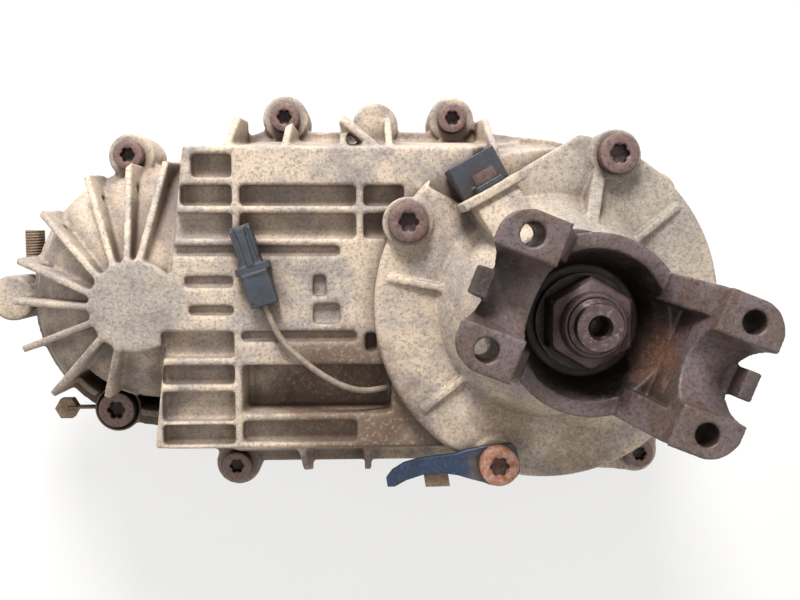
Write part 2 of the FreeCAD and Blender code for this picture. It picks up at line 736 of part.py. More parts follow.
def rim(bottom, top, inset=0):
    """The outline of both case halves at their joint, padded between two heights."""
    left, right = k.front_end - inset, k.main_end - inset
    high, low = k.belly_top - inset, k.belly_bottom - inset
    outline = (
        (FRONT_X, 0 - left),
        (0 - k.ear_d_x, 0 - low),
        (0 - k.case_wall * 5, 0 - low),
        (k.ear_e_x - 2, 0 - k.ear_e_y - k.ear_radius + inset, k.ear_radius),
        (k.ear_e_x + k.ear_radius - inset, 0 - k.ear_e_y - 2),
        (right, 0, right),
        (0, right),
        (0 - k.case_wall * 4, high),
        (0 - k.ear_b_x - k.ear_radius, high),
        (FRONT_X, left, left),
        (FRONT_X - left, 0, left),
    )
    return pad(outline, bottom, top)


def chain_space(bottom, top):
    """The hollow that holds the chain, round both shafts."""
    reach = k.cavity_radius
    return fuse(
        cylinder(reach, top - bottom, (0, 0, bottom)),
        cylinder(reach, top - bottom, (FRONT_X, 0, bottom)),
        box(SPACING, 2 * reach, top - bottom, (FRONT_X, 0 - reach, bottom)),
    )


def grommet(radius, length):
    """A cylinder that ends where the wire starts, in line with its first run."""
    start, following = FreeCAD.Vector(*WIRE[0]), FreeCAD.Vector(*WIRE[1])
    inward = (start - following).normalize()
    thing = cylinder(radius, length, WIRE[0])
    thing.Placement = FreeCAD.Placement(start, FreeCAD.Rotation(FreeCAD.Vector(0, 0, 1), inward))
    return thing


def bolt_holes(spots, radius, bottom, top):
    """Cutters for holes at (x, y) spots."""
    return [cylinder(radius, top - bottom, (x, y, bottom)) for x, y in spots]


# ---------------------------------------------------------------- castings

def make_front_case():
    """Casting that bolts to the transmission and holds the planetary set and the front output."""
    wall = k.case_wall
    rim_foot = k.split_face - k.rim_front
    hump_left = CRANK_X - k.hump_margin
    hump_right = RAIL[0] + k.rail_radius + wall
    hump_front = k.crank_z - k.hump_margin
    seat = k.front_bearing_radius + wall
    outside = [
        rim(rim_foot, k.split_face),
        rim(k.floor_face, k.split_face, k.rim_lip),
        cylinder(k.mount_radius, k.mount_thick, MAIN),
        cylinder(k.barrel, FLOOR_TOP, MAIN),
        block((hump_left, hump_right), (RAIL[1] - 24, k.motor_face), (hump_front, FLOOR_TOP)),
        cylinder(seat, FLOOR_TOP - k.seal_front, (FRONT_X, 0, k.seal_front)),
    ]
    for x, y in CASE_EARS + (CORNER, LEFT_EAR, TOP_EAR):
        outside.append(cylinder(k.ear_radius, k.split_face - EAR_BOTTOM, (x, y, EAR_BOTTOM)))
    web = (
        (seat - 2, k.seal_front + 6),
        (k.front_end - 10, k.floor_face),
        (k.front_end - 10, FLOOR_TOP),
        (seat - 2, FLOOR_TOP),
    )
    for turn in range(0, 360, 45):
        outside.append(rib(web, k.web, FRONT, turn))
    gusset = (
        (k.barrel - 2, k.mount_thick - 1),
        (k.mount_radius - 1, k.mount_thick - 1),
        (k.mount_radius - 1, k.floor_face + 2),
        (k.barrel - 2, k.floor_face + 2),
    )
    for turn in (0, 60, 180, 240, 300):
        outside.append(rib(gusset, k.web, MAIN, turn))
    hollow = [
        chain_space(FLOOR_TOP, k.split_face + 1),
        cylinder(RING_OUTER + k.fit, FLOOR_TOP, (0, 0, k.gear_front - k.carrier_room)),
        cylinder(
            k.input_bearing_radius + k.fit, k.gear_front - k.input_bearing_front,
            (0, 0, k.input_bearing_front),
        ),
        cylinder(k.input_seal_radius + k.fit, k.input_bearing_front + 1, (0, 0, -1)),
        block(
            (hump_left + wall, RAIL[0] - k.rail_radius - 3),
            (RAIL[1] - 18, k.motor_face - wall),
            (hump_front + wall, k.split_face),
        ),
        block(
            (hump_left + wall, 0),
            (RAIL[1] - 18, k.motor_face - wall),
            (k.floor_face - 2, k.split_face),
        ),
        cylinder(k.front_bearing_radius + k.fit, k.split_face, (FRONT_X, 0, k.front_bearing_front)),
        cylinder(
            k.front_seal_radius + k.fit, k.front_bearing_front - k.seal_front - 2,
            (FRONT_X, 0, k.seal_front - 1),
        ),
        cylinder(k.front_bearing_radius - 4, k.split_face, (FRONT_X, 0, k.seal_front - 1)),
        cylinder(k.shift_shaft + k.fit, wall + 2, (CRANK_X, k.motor_face + 1, k.crank_z), 90, (1, 0, 0)),
        cylinder(k.rail_radius + k.fit, k.split_face, (*RAIL, k.gear_front)),
        cylinder(k.fork_wall + 1, k.split_face, (*RAIL, FORK_FRONT + k.fork_thick - k.fork_hub - 1)),
    ]
    thread_end = k.split_face - k.bolt_grip
    hollow += bolt_holes(CASE_EARS + (CORNER,), k.case_bolt + k.fit, thread_end, k.split_face + 1)
    hollow += bolt_holes(DOWELS, k.dowel_radius + k.fit, k.split_face - k.dowel_half, k.split_face + 1)
    for index in range(int(k.mount_bolts)):
        x, y = polar(k.mount_circle, 360 / k.mount_bolts * (index + 0.5))
        hollow.append(cylinder(k.mount_hole, k.mount_thick + 20, (x, y, -1)))
    hollow += bolt_holes(PLUGS, k.plug_radius + k.fit, k.floor_face - 1, FLOOR_TOP + 1)
    return cut(fuse(*outside), *hollow)


def pockets():
    """Cutters for the pockets, grooves and recess between the ribs of the rear face."""
    half = k.web / 2
    left, right = 0 - k.column_left, 0 - k.column_right
    edge = 0 - k.face_left + k.web
    far = 0 - k.pocket_right
    top = k.rear_face + 1
    deep, shallow = k.rear_face - k.pocket_depth, k.rear_face - k.groove_depth
    a, b, c, d = k.line_a, k.line_b, k.line_c, k.line_d
    e, f, g, h = k.line_e, k.line_f, k.line_g, k.line_h
    windows = (
        (edge + 18, left - half, a + half, k.face_top - k.web, deep),
        (edge + 12, left - half, b + half, a - half, deep),
        (left + half, right - half, b + half, a - half, deep),
        (right + half, far, b + half, a - half, deep),
        (edge + 6, left - half, c + half, b - half, deep),
        (left + half, right - half, c + half, b - half, deep),
        (right + half, far - 8, c + half, b - half, deep),
        (edge + 2, right - 11, d, c - half, shallow),
        (left - 28, left - half, 10.5, 16.5, shallow),
        (left - 26, left - half, -4.5, 0.5, shallow),
        (edge, left - half, f + half, e, deep),
        (left + half, right - half, e - 5.5, e, shallow),
        (right + half + 1, right + half + 7, f + 5, e - 1, deep),
        (right - 25.5, right - 18.5, 5.5, 17, shallow),
        (right - 25.5, right - 11, -9.5, 1.5, shallow),
        (edge, left - half, g + half, f - half, deep),
        (edge, left - half, h - half, g - half, deep),
        (edge, left - half, 0 - k.face_bottom + half, h - k.web, deep),
        (left + half, right + 17, h + half, f - half, RECESS_FLOOR),
        (left + half, right - half, 0 - k.face_bottom + half + 1, h - half, deep),
    )
    return [block((x0, x1), (y0, y1), (z0, top)) for x0, x1, y0, y1, z0 in windows]


def make_rear_case():
    """Ribbed casting over the chain and the clutch, with the round pad over the front output bearing."""
    rim_top = k.split_face + k.rim_rear
    low = (
        (FRONT_X - 5, 0 - k.front_end + k.rim_lip + 1),
        (0 - k.ear_d_x, 0 - k.belly_bottom + k.rim_lip + 1),
        (0, 0 - k.belly_bottom + k.rim_lip + 4),
        (0, k.belly_top - k.rim_lip - 1),
        (0 - k.ear_b_x - k.ear_radius, k.belly_top - k.rim_lip - 1),
        (FRONT_X + 12, k.front_end - k.rim_lip + 2),
    )
    high = (
        (0 - k.face_left, 0 - k.face_bottom),
        (0 - k.column_left, 0 - k.face_bottom),
        (0 - k.face_right, 0 - k.face_bottom),
        (0 - k.face_right, k.face_top),
        (0 - k.column_left, k.face_top),
        (0 - k.face_left + 18, k.face_top),
    )
    cone_reach = k.fan_reach - 10
    outside = [
        rim(k.split_face, rim_top),
        loft(low, high, rim_top - 1, k.rear_face),
        cylinder(k.front_end - k.rim_lip - 4, k.fan_foot - k.split_face, (FRONT_X, 0, k.split_face)),
        cone(cone_reach, k.pad_radius, k.fan_valley - k.fan_foot, (FRONT_X, 0, k.fan_foot)),
        cylinder(k.pad_radius, k.rear_face - k.fan_foot, (FRONT_X, 0, k.fan_foot)),
        cone(k.main_end - k.rim_lip, k.retainer_radius - 8, k.rear_face - rim_top, (0, 0, rim_top)),
    ]
    for x, y in CASE_EARS + (CORNER, LEFT_EAR, TOP_EAR):
        outside.append(cylinder(k.ear_radius, EAR_TOP - k.split_face, (x, y, k.split_face)))
    for x, y in RETAINER_BOLTS:
        outside.append(cylinder(k.retainer_ear, k.rear_face - k.split_face, (x, y, k.split_face)))
    fan = (
        (k.pad_radius - 3, rim_top),
        (k.fan_reach + 2, rim_top),
        (k.fan_reach, k.fan_tip),
        (k.pad_radius, k.rear_face),
        (k.pad_radius - 3, k.rear_face),
    )
    for turn in FAN_TURNS:
        outside.append(rib(fan, k.fan_width, FRONT, turn))
    upper = (
        (k.face_top - 8, rim_top - 1),
        (k.belly_top + 6, rim_top - 1),
        (k.belly_top + 4, k.fan_tip),
        (k.face_top, k.rear_face),
        (k.face_top - 8, k.rear_face),
    )
    lower = (
        (k.face_bottom - 8, rim_top - 1),
        (k.belly_bottom + 6, rim_top - 1),
        (k.belly_bottom - 3, k.fan_tip),
        (k.face_bottom, k.rear_face),
        (k.face_bottom - 8, k.rear_face),
    )
    for reach in TOP_RIBS:
        outside.append(rib(upper, k.fan_width, (0 - reach, 0, 0), 90))
    for reach in BOTTOM_RIBS:
        outside.append(rib(lower, k.fan_width, (0 - reach, 0, 0), -90))
    body = fuse(*outside)
    clutch_bore = cylinder(k.cavity_radius, k.rear_face, (0, 0, k.split_face - 1))
    seat_front = k.cavity_end - 1
    tail_seat = cylinder(k.tail_bearing_radius + k.fit, TAIL_REAR - seat_front, (FRONT_X, 0, seat_front))
    hollow = [chain_space(k.split_face - 1, k.cavity_end), clutch_bore, tail_seat]
    hollow.append(cylinder(k.tail_journal + 3, 8, (FRONT_X, 0, TAIL_REAR - 1)))
    hollow += bolt_holes(CASE_EARS + (CORNER,), k.case_bolt + k.hole_play, k.split_face - 1, EAR_TOP + 1)
    hollow += bolt_holes(CASE_EARS, k.case_head + k.head_play, EAR_TOP, k.rear_face + 1)
    hollow += bolt_holes((CORNER,), k.corner_head + k.clip_play + 1, EAR_TOP, k.rear_face + 1)
    hollow += bolt_holes(DOWELS, k.dowel_radius + k.fit, k.split_face - 1, k.split_face + k.dowel_half)
    thread_end = k.rear_face - k.retainer_grip
    hollow += bolt_holes(RETAINER_BOLTS, k.retainer_bolt + k.fit, thread_end, k.rear_face + 1)
    hollow.append(grommet(k.grommet_radius + k.fit, k.grommet_hole))
    hollow += pockets()
    return cut(body, *hollow)


def make_retainer():
    """Cover that carries the rear bearing, the rear seal and the speed sensor."""
    inner = k.tone_radius - 4
    hub = spin((
        (inner, k.rear_face),
        (k.retainer_radius, k.rear_face),
        (k.retainer_radius, RETAINER_TOP - 2),
        (k.retainer_radius - 2, RETAINER_TOP),
        (k.retainer_hub + 14, RETAINER_TOP),
        (k.retainer_hub, BEARING_REAR),
        (k.retainer_hub - 4, k.retainer_end),
        (inner, k.retainer_end),
    ))
    spigot = ring(k.cavity_radius - 8, k.cavity_radius - k.fit, k.rear_face - 6, k.rear_face + 1)
    outside = [hub, spigot]
    for x, y in RETAINER_BOLTS:
        outside.append(cylinder(k.retainer_ear, k.retainer_thick + 2, (x, y, k.rear_face)))
    gusset = (
        (k.retainer_hub - 8, RETAINER_TOP - 1),
        (k.gusset_reach, RETAINER_TOP - 1),
        (k.retainer_hub - 8, k.retainer_end - 8),
    )
    outside.append(rib(gusset, k.gusset_width, MAIN, k.gusset_turn))
    low_rib = (
        (k.retainer_hub - 2, RETAINER_TOP - 1),
        (k.retainer_radius - 6, RETAINER_TOP - 1),
        (k.retainer_radius - 6, RETAINER_TOP + 1.5),
        (k.retainer_hub - 2, RETAINER_TOP + 5),
    )
    for turn in (k.gusset_turn - 32, k.sensor_turn + 50, k.sensor_turn + 100):
        outside.append(rib(low_rib, k.web, MAIN, turn))
    boss_top = SENSOR_BOLT_Z + k.tab_end + 1
    boss = (
        (k.retainer_hub - 10, RETAINER_TOP - 1),
        (k.boss_reach - 3, RETAINER_TOP - 1),
        (k.boss_reach - 3, boss_top - 3),
        (k.retainer_hub - 10, boss_top + 4),
    )
    outside.append(rib(boss, 2 * k.boss_radius, MAIN, k.sensor_turn))
    flange = (
        (k.boss_reach - 5, k.rear_face + 2),
        (k.boss_reach, k.rear_face + 2),
        (k.boss_reach, boss_top),
        (k.boss_reach - 5, boss_top),
    )
    outside.append(rib(flange, 2 * k.boss_radius + 10, MAIN, k.sensor_turn))
    edge = [polar(reach, turn) for reach, turn in RETAINER_TRIM]
    edge_cut = pad(edge, k.rear_face - 1, RETAINER_TOP + 4)
    body = cut(fuse(*outside), edge_cut)
    hollow = [
        cylinder(k.rear_bearing_radius + k.fit, BEARING_REAR - k.rear_face + 10, (0, 0, k.rear_face - 10)),
        cylinder(k.snap_radius, k.snap_thick + 0.2, (0, 0, k.rear_bearing_front - k.snap_thick - 0.2)),
        cylinder(k.tone_radius + 1.5, k.retainer_end, (0, 0, k.rear_face)),
        cylinder(k.seal_radius + k.fit, k.seal_width + 2, (0, 0, k.retainer_end - k.seal_width)),
        spoke(k.sensor_radius + k.fit, k.tone_radius, k.boss_reach + 1, k.sensor_turn, k.sensor_z),
        spoke(k.sensor_screw + k.fit, k.boss_reach - 16, k.boss_reach + 1, k.sensor_turn, SENSOR_BOLT_Z),
    ]
    hollow += bolt_holes(RETAINER_BOLTS, k.retainer_bolt + k.hole_play, k.rear_face - 1, RETAINER_TOP + 20)
    return cut(body, *hollow)


# ---------------------------------------------------------------- teeth

def toothed(count, tip, root, share, inner=0, outer=0):
    """Face with trapezoid teeth about Z. Teeth point out from a bore, or in from an outer circle."""
    points = []
    pitch = 2 * math.pi / count
    for index in range(count):
        middle = index * pitch
        for radius, reach in ((root, -share[1]), (tip, -share[0]), (tip, share[0]), (root, share[1])):
            angle = middle + reach * pitch
            points.append(FreeCAD.Vector(radius * math.cos(angle), radius * math.sin(angle), 0))
    wire = Part.makePolygon(points + points[:1])
    if inner:
        return Part.Face([wire, Part.Wire(Part.makeCircle(inner))], "Part::FaceMakerBullseye")
    circle = Part.Wire(Part.makeCircle(outer))
    return Part.Face([circle, wire], "Part::FaceMakerBullseye")


def gear(count, tip, root, bottom, top, inner=0, outer=0, share=(0.14, 0.27), phase=0, at=MAIN):
    """A spur gear or ring gear between two heights; phase is in degrees."""
    face = toothed(int(count), float(tip), float(root), share, float(inner), float(outer))
    shape = face.extrude(FreeCAD.Vector(0, 0, float(top) - float(bottom)))
    return place(solid(shape), (at[0], at[1], bottom), phase)


def chain_points():
    """Pins of the chain in order, and the direction of the chain at each."""
    count, pitch = int(k.chain_links), float(k.chain_pitch)
    span, radius = float(SPACING), float(PITCH_RADIUS)
    wrap = int(k.sprocket_teeth) * pitch / 2
    found = []
    for index in range(count):
        way = index * pitch
        if way < span:
            found.append((-way, radius))
        elif way < span + wrap:
            angle = math.pi / 2 + math.pi * (way - span) / wrap
            found.append((-span + radius * math.cos(angle), radius * math.sin(angle)))
        elif way < 2 * span + wrap:
            found.append((-span + (way - span - wrap), -radius))
        else:
            angle = -math.pi / 2 + math.pi * (way - 2 * span - wrap) / wrap
            found.append((radius * math.cos(angle), radius * math.sin(angle)))
    return found


def chain_plate(start, end, bottom, top):
    """One link plate from pin to pin, with tapered ends."""
    run = FreeCAD.Vector(end[0] - start[0], end[1] - start[1], 0)
    middle = FreeCAD.Vector((start[0] + end[0]) / 2, (start[1] + end[1]) / 2, float(bottom))
    along_link = FreeCAD.Vector(run).normalize()
    outward = FreeCAD.Vector(along_link.y, -along_link.x, 0)
    half = float(k.chain_pitch) / 2
    inside, outside = -float(k.plate_inside), float(k.plate_outside)
    corners = (
        (-half - 2, 1.5), (-half + 1, inside), (half - 1, inside),
        (half + 2, 1.5), (half, outside), (-half, outside),
    )
    points = [middle + along_link * a + outward * b for a, b in corners]
    face = Part.Face(Part.makePolygon(points + points[:1]))
    return face.extrude(FreeCAD.Vector(0, 0, float(top) - float(bottom)))


def make_chain():
    """Chain of wide inner links and pairs of outer plates, one behind the other."""
    pins = chain_points()
    front, rear = k.chain_front, CHAIN_REAR
    plates = []
    for index, pin in enumerate(pins):
        following = pins[(index + 1) % len(pins)]
        if index % 2:
            plates.append(chain_plate(pin, following, front, front + k.plate_width))
            plates.append(chain_plate(pin, following, rear - k.plate_width, rear))
        else:
            plates.append(chain_plate(pin, following, front + k.plate_width, rear - k.plate_width))
    return solid(Part.makeCompound(plates))


# ---------------------------------------------------------------- planetary set and shift

def make_input_shaft():
    """Shaft from the transmission, with the sun gear and the high-range clutch teeth behind it."""
    tube = spin((
        (k.input_spline, k.input_start),
        (k.input_journal, k.input_start),
        (k.input_journal, k.gear_front + 1),
        (k.input_spline, k.gear_front + 1),
    ))
    plug = spin((
        (0, k.pilot_front - 4),
        (k.input_spline + 1, k.pilot_front - 4),
        (k.input_spline + 1, k.gear_front + 1),
        (k.pilot_radius + k.fit, k.gear_front + 1),
        (k.pilot_radius + k.fit, k.pilot_front),
        (0, k.pilot_front),
    ))
    root = SUN_PITCH - k.gear_module * k.dedendum
    tip = SUN_PITCH + k.gear_module * k.addendum
    sun = gear(k.sun_teeth, tip, root, k.gear_front, GEAR_REAR, k.dog_radius)
    web = ring(k.pilot_radius + k.fit, k.dog_radius + 1, k.gear_front, NOSE_FRONT - 1)
    return fuse(tube, plug, sun, web)


def make_ring_gear():
    """Internal gear, held still in the front case."""
    tip = RING_PITCH - k.gear_module * k.addendum
    root = RING_PITCH + k.gear_module * k.dedendum
    teeth = k.sun_teeth + 2 * k.planet_teeth
    return gear(teeth, tip, root, k.gear_front, GEAR_REAR, 0, RING_OUTER)


def make_planet(index):
    """One planet gear on its pin."""
    tip = PLANET_PITCH + k.gear_module * k.addendum
    root = PLANET_PITCH - k.gear_module * k.dedendum
    turn = 360 / k.planet_count * index
    phase = planet_phase(float(turn))
    return gear(
        k.planet_teeth, tip, root, k.gear_front, GEAR_REAR, k.planet_pin + k.fit,
        share=(0.12, 0.25), phase=phase, at=polar(CARRIER_RADIUS, turn),
    )


def planet_phase(turn):
    """Turn of a planet that puts one of its gaps on a tooth of the sun."""
    sun_step = 360 / int(k.sun_teeth)
    lead = turn % sun_step
    ratio = int(k.sun_teeth) / int(k.planet_teeth)
    return turn + 180 + 180 / int(k.planet_teeth) + lead * ratio


def make_carrier():
    """Two plates and four posts round the planets, with the low-range clutch teeth in the rear plate."""
    front = k.gear_front - k.run_gap
    things = [
        ring(k.input_journal + 4, CARRIER_RADIUS + 7, front - k.carrier_plate, front),
        ring(k.dog_radius, CARRIER_RADIUS + 9, CARRIER_REAR, CARRIER_REAR + k.carrier_back),
    ]
    for index in range(int(k.planet_count)):
        turn = 360 / k.planet_count * (index + 0.5)
        spot = polar(CARRIER_RADIUS, turn)
        things.append(cylinder(k.carrier_post, CARRIER_REAR - front + 2, (*spot, front - 1)))
    holes = []
    for index in range(int(k.planet_count)):
        spot = polar(CARRIER_RADIUS, 360 / k.planet_count * index)
        holes.append(cylinder(k.planet_pin + k.fit, 2 * k.gear_width, (*spot, front - 6)))
    return cut(fuse(*things), *holes)


def make_planet_pins():
    """Pins that carry the planets."""
    front = k.gear_front - k.run_gap - k.carrier_plate
    rear = CARRIER_REAR + k.carrier_back
    pins = []
    for index in range(int(k.planet_count)):
        spot = polar(CARRIER_RADIUS, 360 / k.planet_count * index)
        pins.append(cylinder(k.planet_pin, rear - front, (*spot, front)))
    return group(pins)


def make_collar():
    """Sliding collar whose nose joins the main shaft to the input shaft or to the carrier."""
    bore = k.shaft_radius + k.fit
    nose = k.dog_radius - k.run_gap
    return spin((
        (bore, NOSE_FRONT),
        (nose, NOSE_FRONT),
        (nose, NOSE_REAR),
        (k.collar_barrel, NOSE_REAR),
        (k.collar_barrel, COLLAR_FLANGE),
        (k.collar_flange, COLLAR_FLANGE),
        (k.collar_flange, COLLAR_FLANGE + k.flange_thick),
        (k.groove_radius, COLLAR_FLANGE + k.flange_thick),
        (k.groove_radius, COLLAR_END - k.flange_thick),
        (k.collar_flange, COLLAR_END - k.flange_thick),
        (k.collar_flange, COLLAR_END),
        (bore, COLLAR_END),
    ))


def make_fork():
    """Fork in the collar's groove, with its hub on the rail and a slotted tail for the crank pin."""
    rear = FORK_FRONT + k.fork_thick
    reach = k.groove_radius + k.run_gap
    x, y = RAIL
    outer = reach + k.fork_jaw
    jaw = cylinder(outer, k.fork_thick, (0, 0, FORK_FRONT))
    bridge = pad((
        (x - 4, y - 9),
        (0 - reach + 4, 0 - k.fork_mouth),
        (0 - reach + 12, y - 12),
        (x + 4, y + 9),
    ), FORK_FRONT, rear)
    hub = cylinder(k.fork_wall, k.fork_hub, (x, y, rear - k.fork_hub))
    tail = block(
        (PIN_X - k.sector_pin - 6, x - k.fork_wall - 1),
        (y - k.tail_thick / 2, TAIL_TOP),
        (PIN_Z - k.sector_pin - 6, rear),
    )
    root = block(
        (x - k.fork_wall - 2, x - k.rail_radius - 2),
        (y - k.tail_thick / 2, TAIL_TOP),
        (rear - k.fork_hub, rear),
    )
    body = fuse(jaw, bridge, hub, tail, root)
    slot_play = k.sector_pin + k.run_gap
    swing = CRANK_ARM - CRANK_ARM * cosine(k.shift_turn / 2)
    slot = block(
        (PIN_X - slot_play, PIN_X + slot_play + swing),
        (y - k.tail_thick, y + k.tail_thick),
        (PIN_Z - slot_play, PIN_Z + slot_play),
    )
    opening = [
        cylinder(reach, k.fork_thick + 2, (0, 0, FORK_FRONT - 1)),
        block((0 - k.fork_mouth, outer + 1), (0 - outer - 1, outer + 1), (FORK_FRONT - 1, rear + 1)),
        cylinder(k.rail_radius + k.fit, k.fork_hub + 2, (x, y, rear - k.fork_hub - 1)),
        slot,
    ]
    return cut(body, *opening)


def make_shift_shaft():
    """Motor-driven shaft through the housing wall, with a crank and its pin."""
    top = k.motor_face + k.run_gap
    arm_rear = TAIL_TOP + k.run_gap
    shaft = cylinder(k.shift_shaft, top - arm_rear, (CRANK_X, top, k.crank_z), 90, (1, 0, 0))
    arm = pad((
        (0, 0 - k.shift_shaft),
        (CRANK_ARM, 0 - k.sector_pin - 2),
        (CRANK_ARM + 5, 0),
        (CRANK_ARM, k.sector_pin + 2),
        (0, k.shift_shaft),
    ), 0, k.crank_thick, "XZ_Plane", (CRANK_X, arm_rear + k.crank_thick / 2, k.crank_z),
        k.shift_turn / 2, True, (0, 1, 0))
    pin_length = arm_rear + 1 - k.rail_y + k.tail_thick / 2
    pin = cylinder(k.sector_pin, pin_length, (PIN_X, arm_rear + 1, PIN_Z), 90, (1, 0, 0))
    return fuse(shaft, arm, pin)


def make_shift_motor():
    """Electric motor on the housing: a round gear case, a smaller motor can and a socket."""
    foot = k.motor_face
    top = foot + k.motor_height
    case_part = cylinder(k.motor_radius, k.motor_height, (CRANK_X, top, k.crank_z), 90, (1, 0, 0))
    can_start = (CRANK_X + k.motor_radius - 4, foot + k.can_radius + 1, k.crank_z - 2)
    can = cylinder(k.can_radius, k.can_length, can_start, 90, (0, 1, 0))
    socket = block(
        (CRANK_X - k.motor_radius - 10, CRANK_X),
        (foot + 6, foot + 20),
        (k.crank_z - 9, k.crank_z + 9),
    )
    inside = block(
        (CRANK_X - k.motor_radius - 11, CRANK_X - k.motor_radius + 2),
        (foot + 8, foot + 18),
        (k.crank_z - 7, k.crank_z + 7),
    )
    seat = cylinder(k.shift_shaft + k.fit, 2, (CRANK_X, foot + 1, k.crank_z), 90, (1, 0, 0))
    return cut(fuse(case_part, can, socket), inside, seat)


# ---------------------------------------------------------------- main shaft, pump and clutch

def make_main_shaft():
    """Shaft from the pilot in the input shaft to the threaded end behind the yoke."""
    shaft = spin((
        (0, k.pilot_front + 1),
        (k.pilot_radius, k.pilot_front + 1),
        (k.pilot_radius, NOSE_FRONT - 0.5),
        (k.shaft_radius, NOSE_FRONT - 0.5),
        (k.shaft_radius, k.clutch_rear + 4),
        (k.rear_journal, k.clutch_rear + 4),
        (k.rear_journal, BEARING_REAR),
        (k.yoke_spline, BEARING_REAR),
        (k.yoke_spline, NUT_SEAT - 1),
        (k.thread_radius, NUT_SEAT - 1),
        (k.thread_radius, NUT_TOP + k.collar_height + 1),
        (k.end_radius, NUT_TOP + k.collar_height + 2),
        (k.end_radius, k.shaft_end),
        (0, k.shaft_end),
    ))
    centre = fuse(
        cylinder(k.centre_hole, 14, (0, 0, k.shaft_end - 13)),
        cone(k.centre_hole, k.centre_hole + 2, 3, (0, 0, k.shaft_end - 2)),
    )
    return cut(shaft, centre)


def make_pump_housing():
    """Oil pump body with three lugs that hold it still in the chain housing."""
    disc = cylinder(k.pump_radius, k.pump_width, (0, 0, k.pump_front))
    things = [disc]
    for turn in (90, 210, 330):
        lug = (
            (k.pump_radius - 3, k.pump_front),
            (k.cavity_radius - k.run_gap, k.pump_front),
            (k.cavity_radius - k.run_gap, k.pump_front + k.pump_width - 2),
            (k.pump_radius - 3, k.pump_front + k.pump_width - 2),
        )
        things.append(rib(lug, 12, MAIN, turn))
    rotor_room = cylinder(k.rotor_radius + k.fit, k.pump_width, (0, 0, k.pump_front + 2))
    bore = cylinder(k.shaft_radius + 0.5, k.pump_width + 2, (0, 0, k.pump_front - 1))
    return cut(fuse(*things), rotor_room, bore)


def make_rotor():
    """Rotor of the oil pump, with slots for its vanes."""
    front, rear = k.pump_front + 2.1, k.pump_front + k.pump_width - 0.1
    rotor = ring(k.shaft_radius + k.fit, k.rotor_radius, front, rear)
    slots = [
        rib((
            (k.rotor_radius - 5, k.pump_front),
            (k.rotor_radius + 1, k.pump_front),
            (k.rotor_radius + 1, k.pump_front + k.pump_width + 1),
            (k.rotor_radius - 5, k.pump_front + k.pump_width + 1),
        ), 3, MAIN, turn)
        for turn in range(0, 360, 90)
    ]
    return cut(rotor, *slots)


def make_pickup():
    """Tube from the pump down to the strainer."""
    y, z = 0 - PICKUP_TOP, k.pump_front + k.pump_width / 2
    outer = cylinder(k.pickup_radius, k.pickup_drop, (0, y, z), 90, (1, 0, 0))
    inner = cylinder(k.pickup_radius - 1, k.pickup_drop + 2, (0, y + 1, z), 90, (1, 0, 0))
    return cut(outer, inner)


def make_strainer():
    """Flat strainer on the floor of the case."""
    half, z = k.strainer_half, k.pump_front + k.pump_width / 2
    top = 0 - PICKUP_TOP - k.pickup_drop
    return block((0 - half, half), (top - 6, top), (z - 5, z + 5))


def discs(inner, outer, first):
    """Every second disc of the clutch pack."""
    step = 2 * (k.disc_thick + k.disc_gap)
    return group([
        ring(inner, outer, first + step * index, first + step * index + k.disc_thick)
        for index in range(int(k.disc_pairs))
    ])


def make_drum():
    """Clutch drum, open to the rear."""
    inside = k.drum_radius - k.drum_wall
    return spin((
        (k.shaft_radius + 8, k.clutch_front),
        (k.drum_radius, k.clutch_front),
        (k.drum_radius, k.clutch_rear),
        (inside, k.clutch_rear),
        (inside, k.clutch_front + k.drum_wall),
        (k.shaft_radius + 8, k.clutch_front + k.drum_wall),
    ))


def make_drive_sprocket():
    """Sprocket with a hub that reaches back to the drum."""
    root = TOOTH_TIP - k.tooth_depth
    bore = k.shaft_radius + k.fit
    teeth = gear(
        k.sprocket_teeth, TOOTH_TIP, root, k.chain_front + 1, CHAIN_REAR - 1, bore,
        share=(0.16, 0.34),
    )
    hub = ring(bore, k.shaft_radius + 16, CHAIN_REAR - 2, k.clutch_front)
    return fuse(teeth, hub)


def make_clutch_hub():
    """Hub on the main shaft that carries the friction discs."""
    start = k.clutch_front + k.drum_wall + 1
    return spin((
        (k.shaft_radius + k.fit, start),
        (k.hub_radius, start),
        (k.hub_radius, PACK_REAR),
        (k.hub_radius - 5, PACK_REAR),
        (k.hub_radius - 5, start + 5),
        (k.shaft_radius + 6, start + 5),
        (k.shaft_radius + 6, PACK_REAR),
        (k.shaft_radius + k.fit, PACK_REAR),
    ))


# ---------------------------------------------------------------- rear end

def make_tone_ring():
    """Toothed ring that the speed sensor reads."""
    return gear(
        k.tone_teeth, k.tone_radius, k.tone_radius - 3, TONE_FRONT, TONE_FRONT + k.tone_width,
        k.rear_journal + k.fit, share=(0.2, 0.28),
    )


def lip_seal(inner, outer, bottom, top, at=MAIN):
    """Radial shaft seal with a steel case outside and a lip that points inward."""
    return spin((
        (inner + 3, bottom),
        (outer, bottom),
        (outer, top),
        (inner + 0.1, top),
        (inner + 0.1, top - 2),
        (inner + 3, top - 3),
    ), at)


def make_slinger():
    """Pressed dish on the yoke hub that keeps dirt from the seal."""
    back = SLINGER_FACE
    return spin((
        (k.hub_outer, back - 2),
        (k.slinger_radius - 3, back - 2),
        (k.slinger_radius - 2, back - 5),
        (k.slinger_radius, back - 5),
        (k.slinger_radius, back),
        (k.hub_outer, back),
    ))


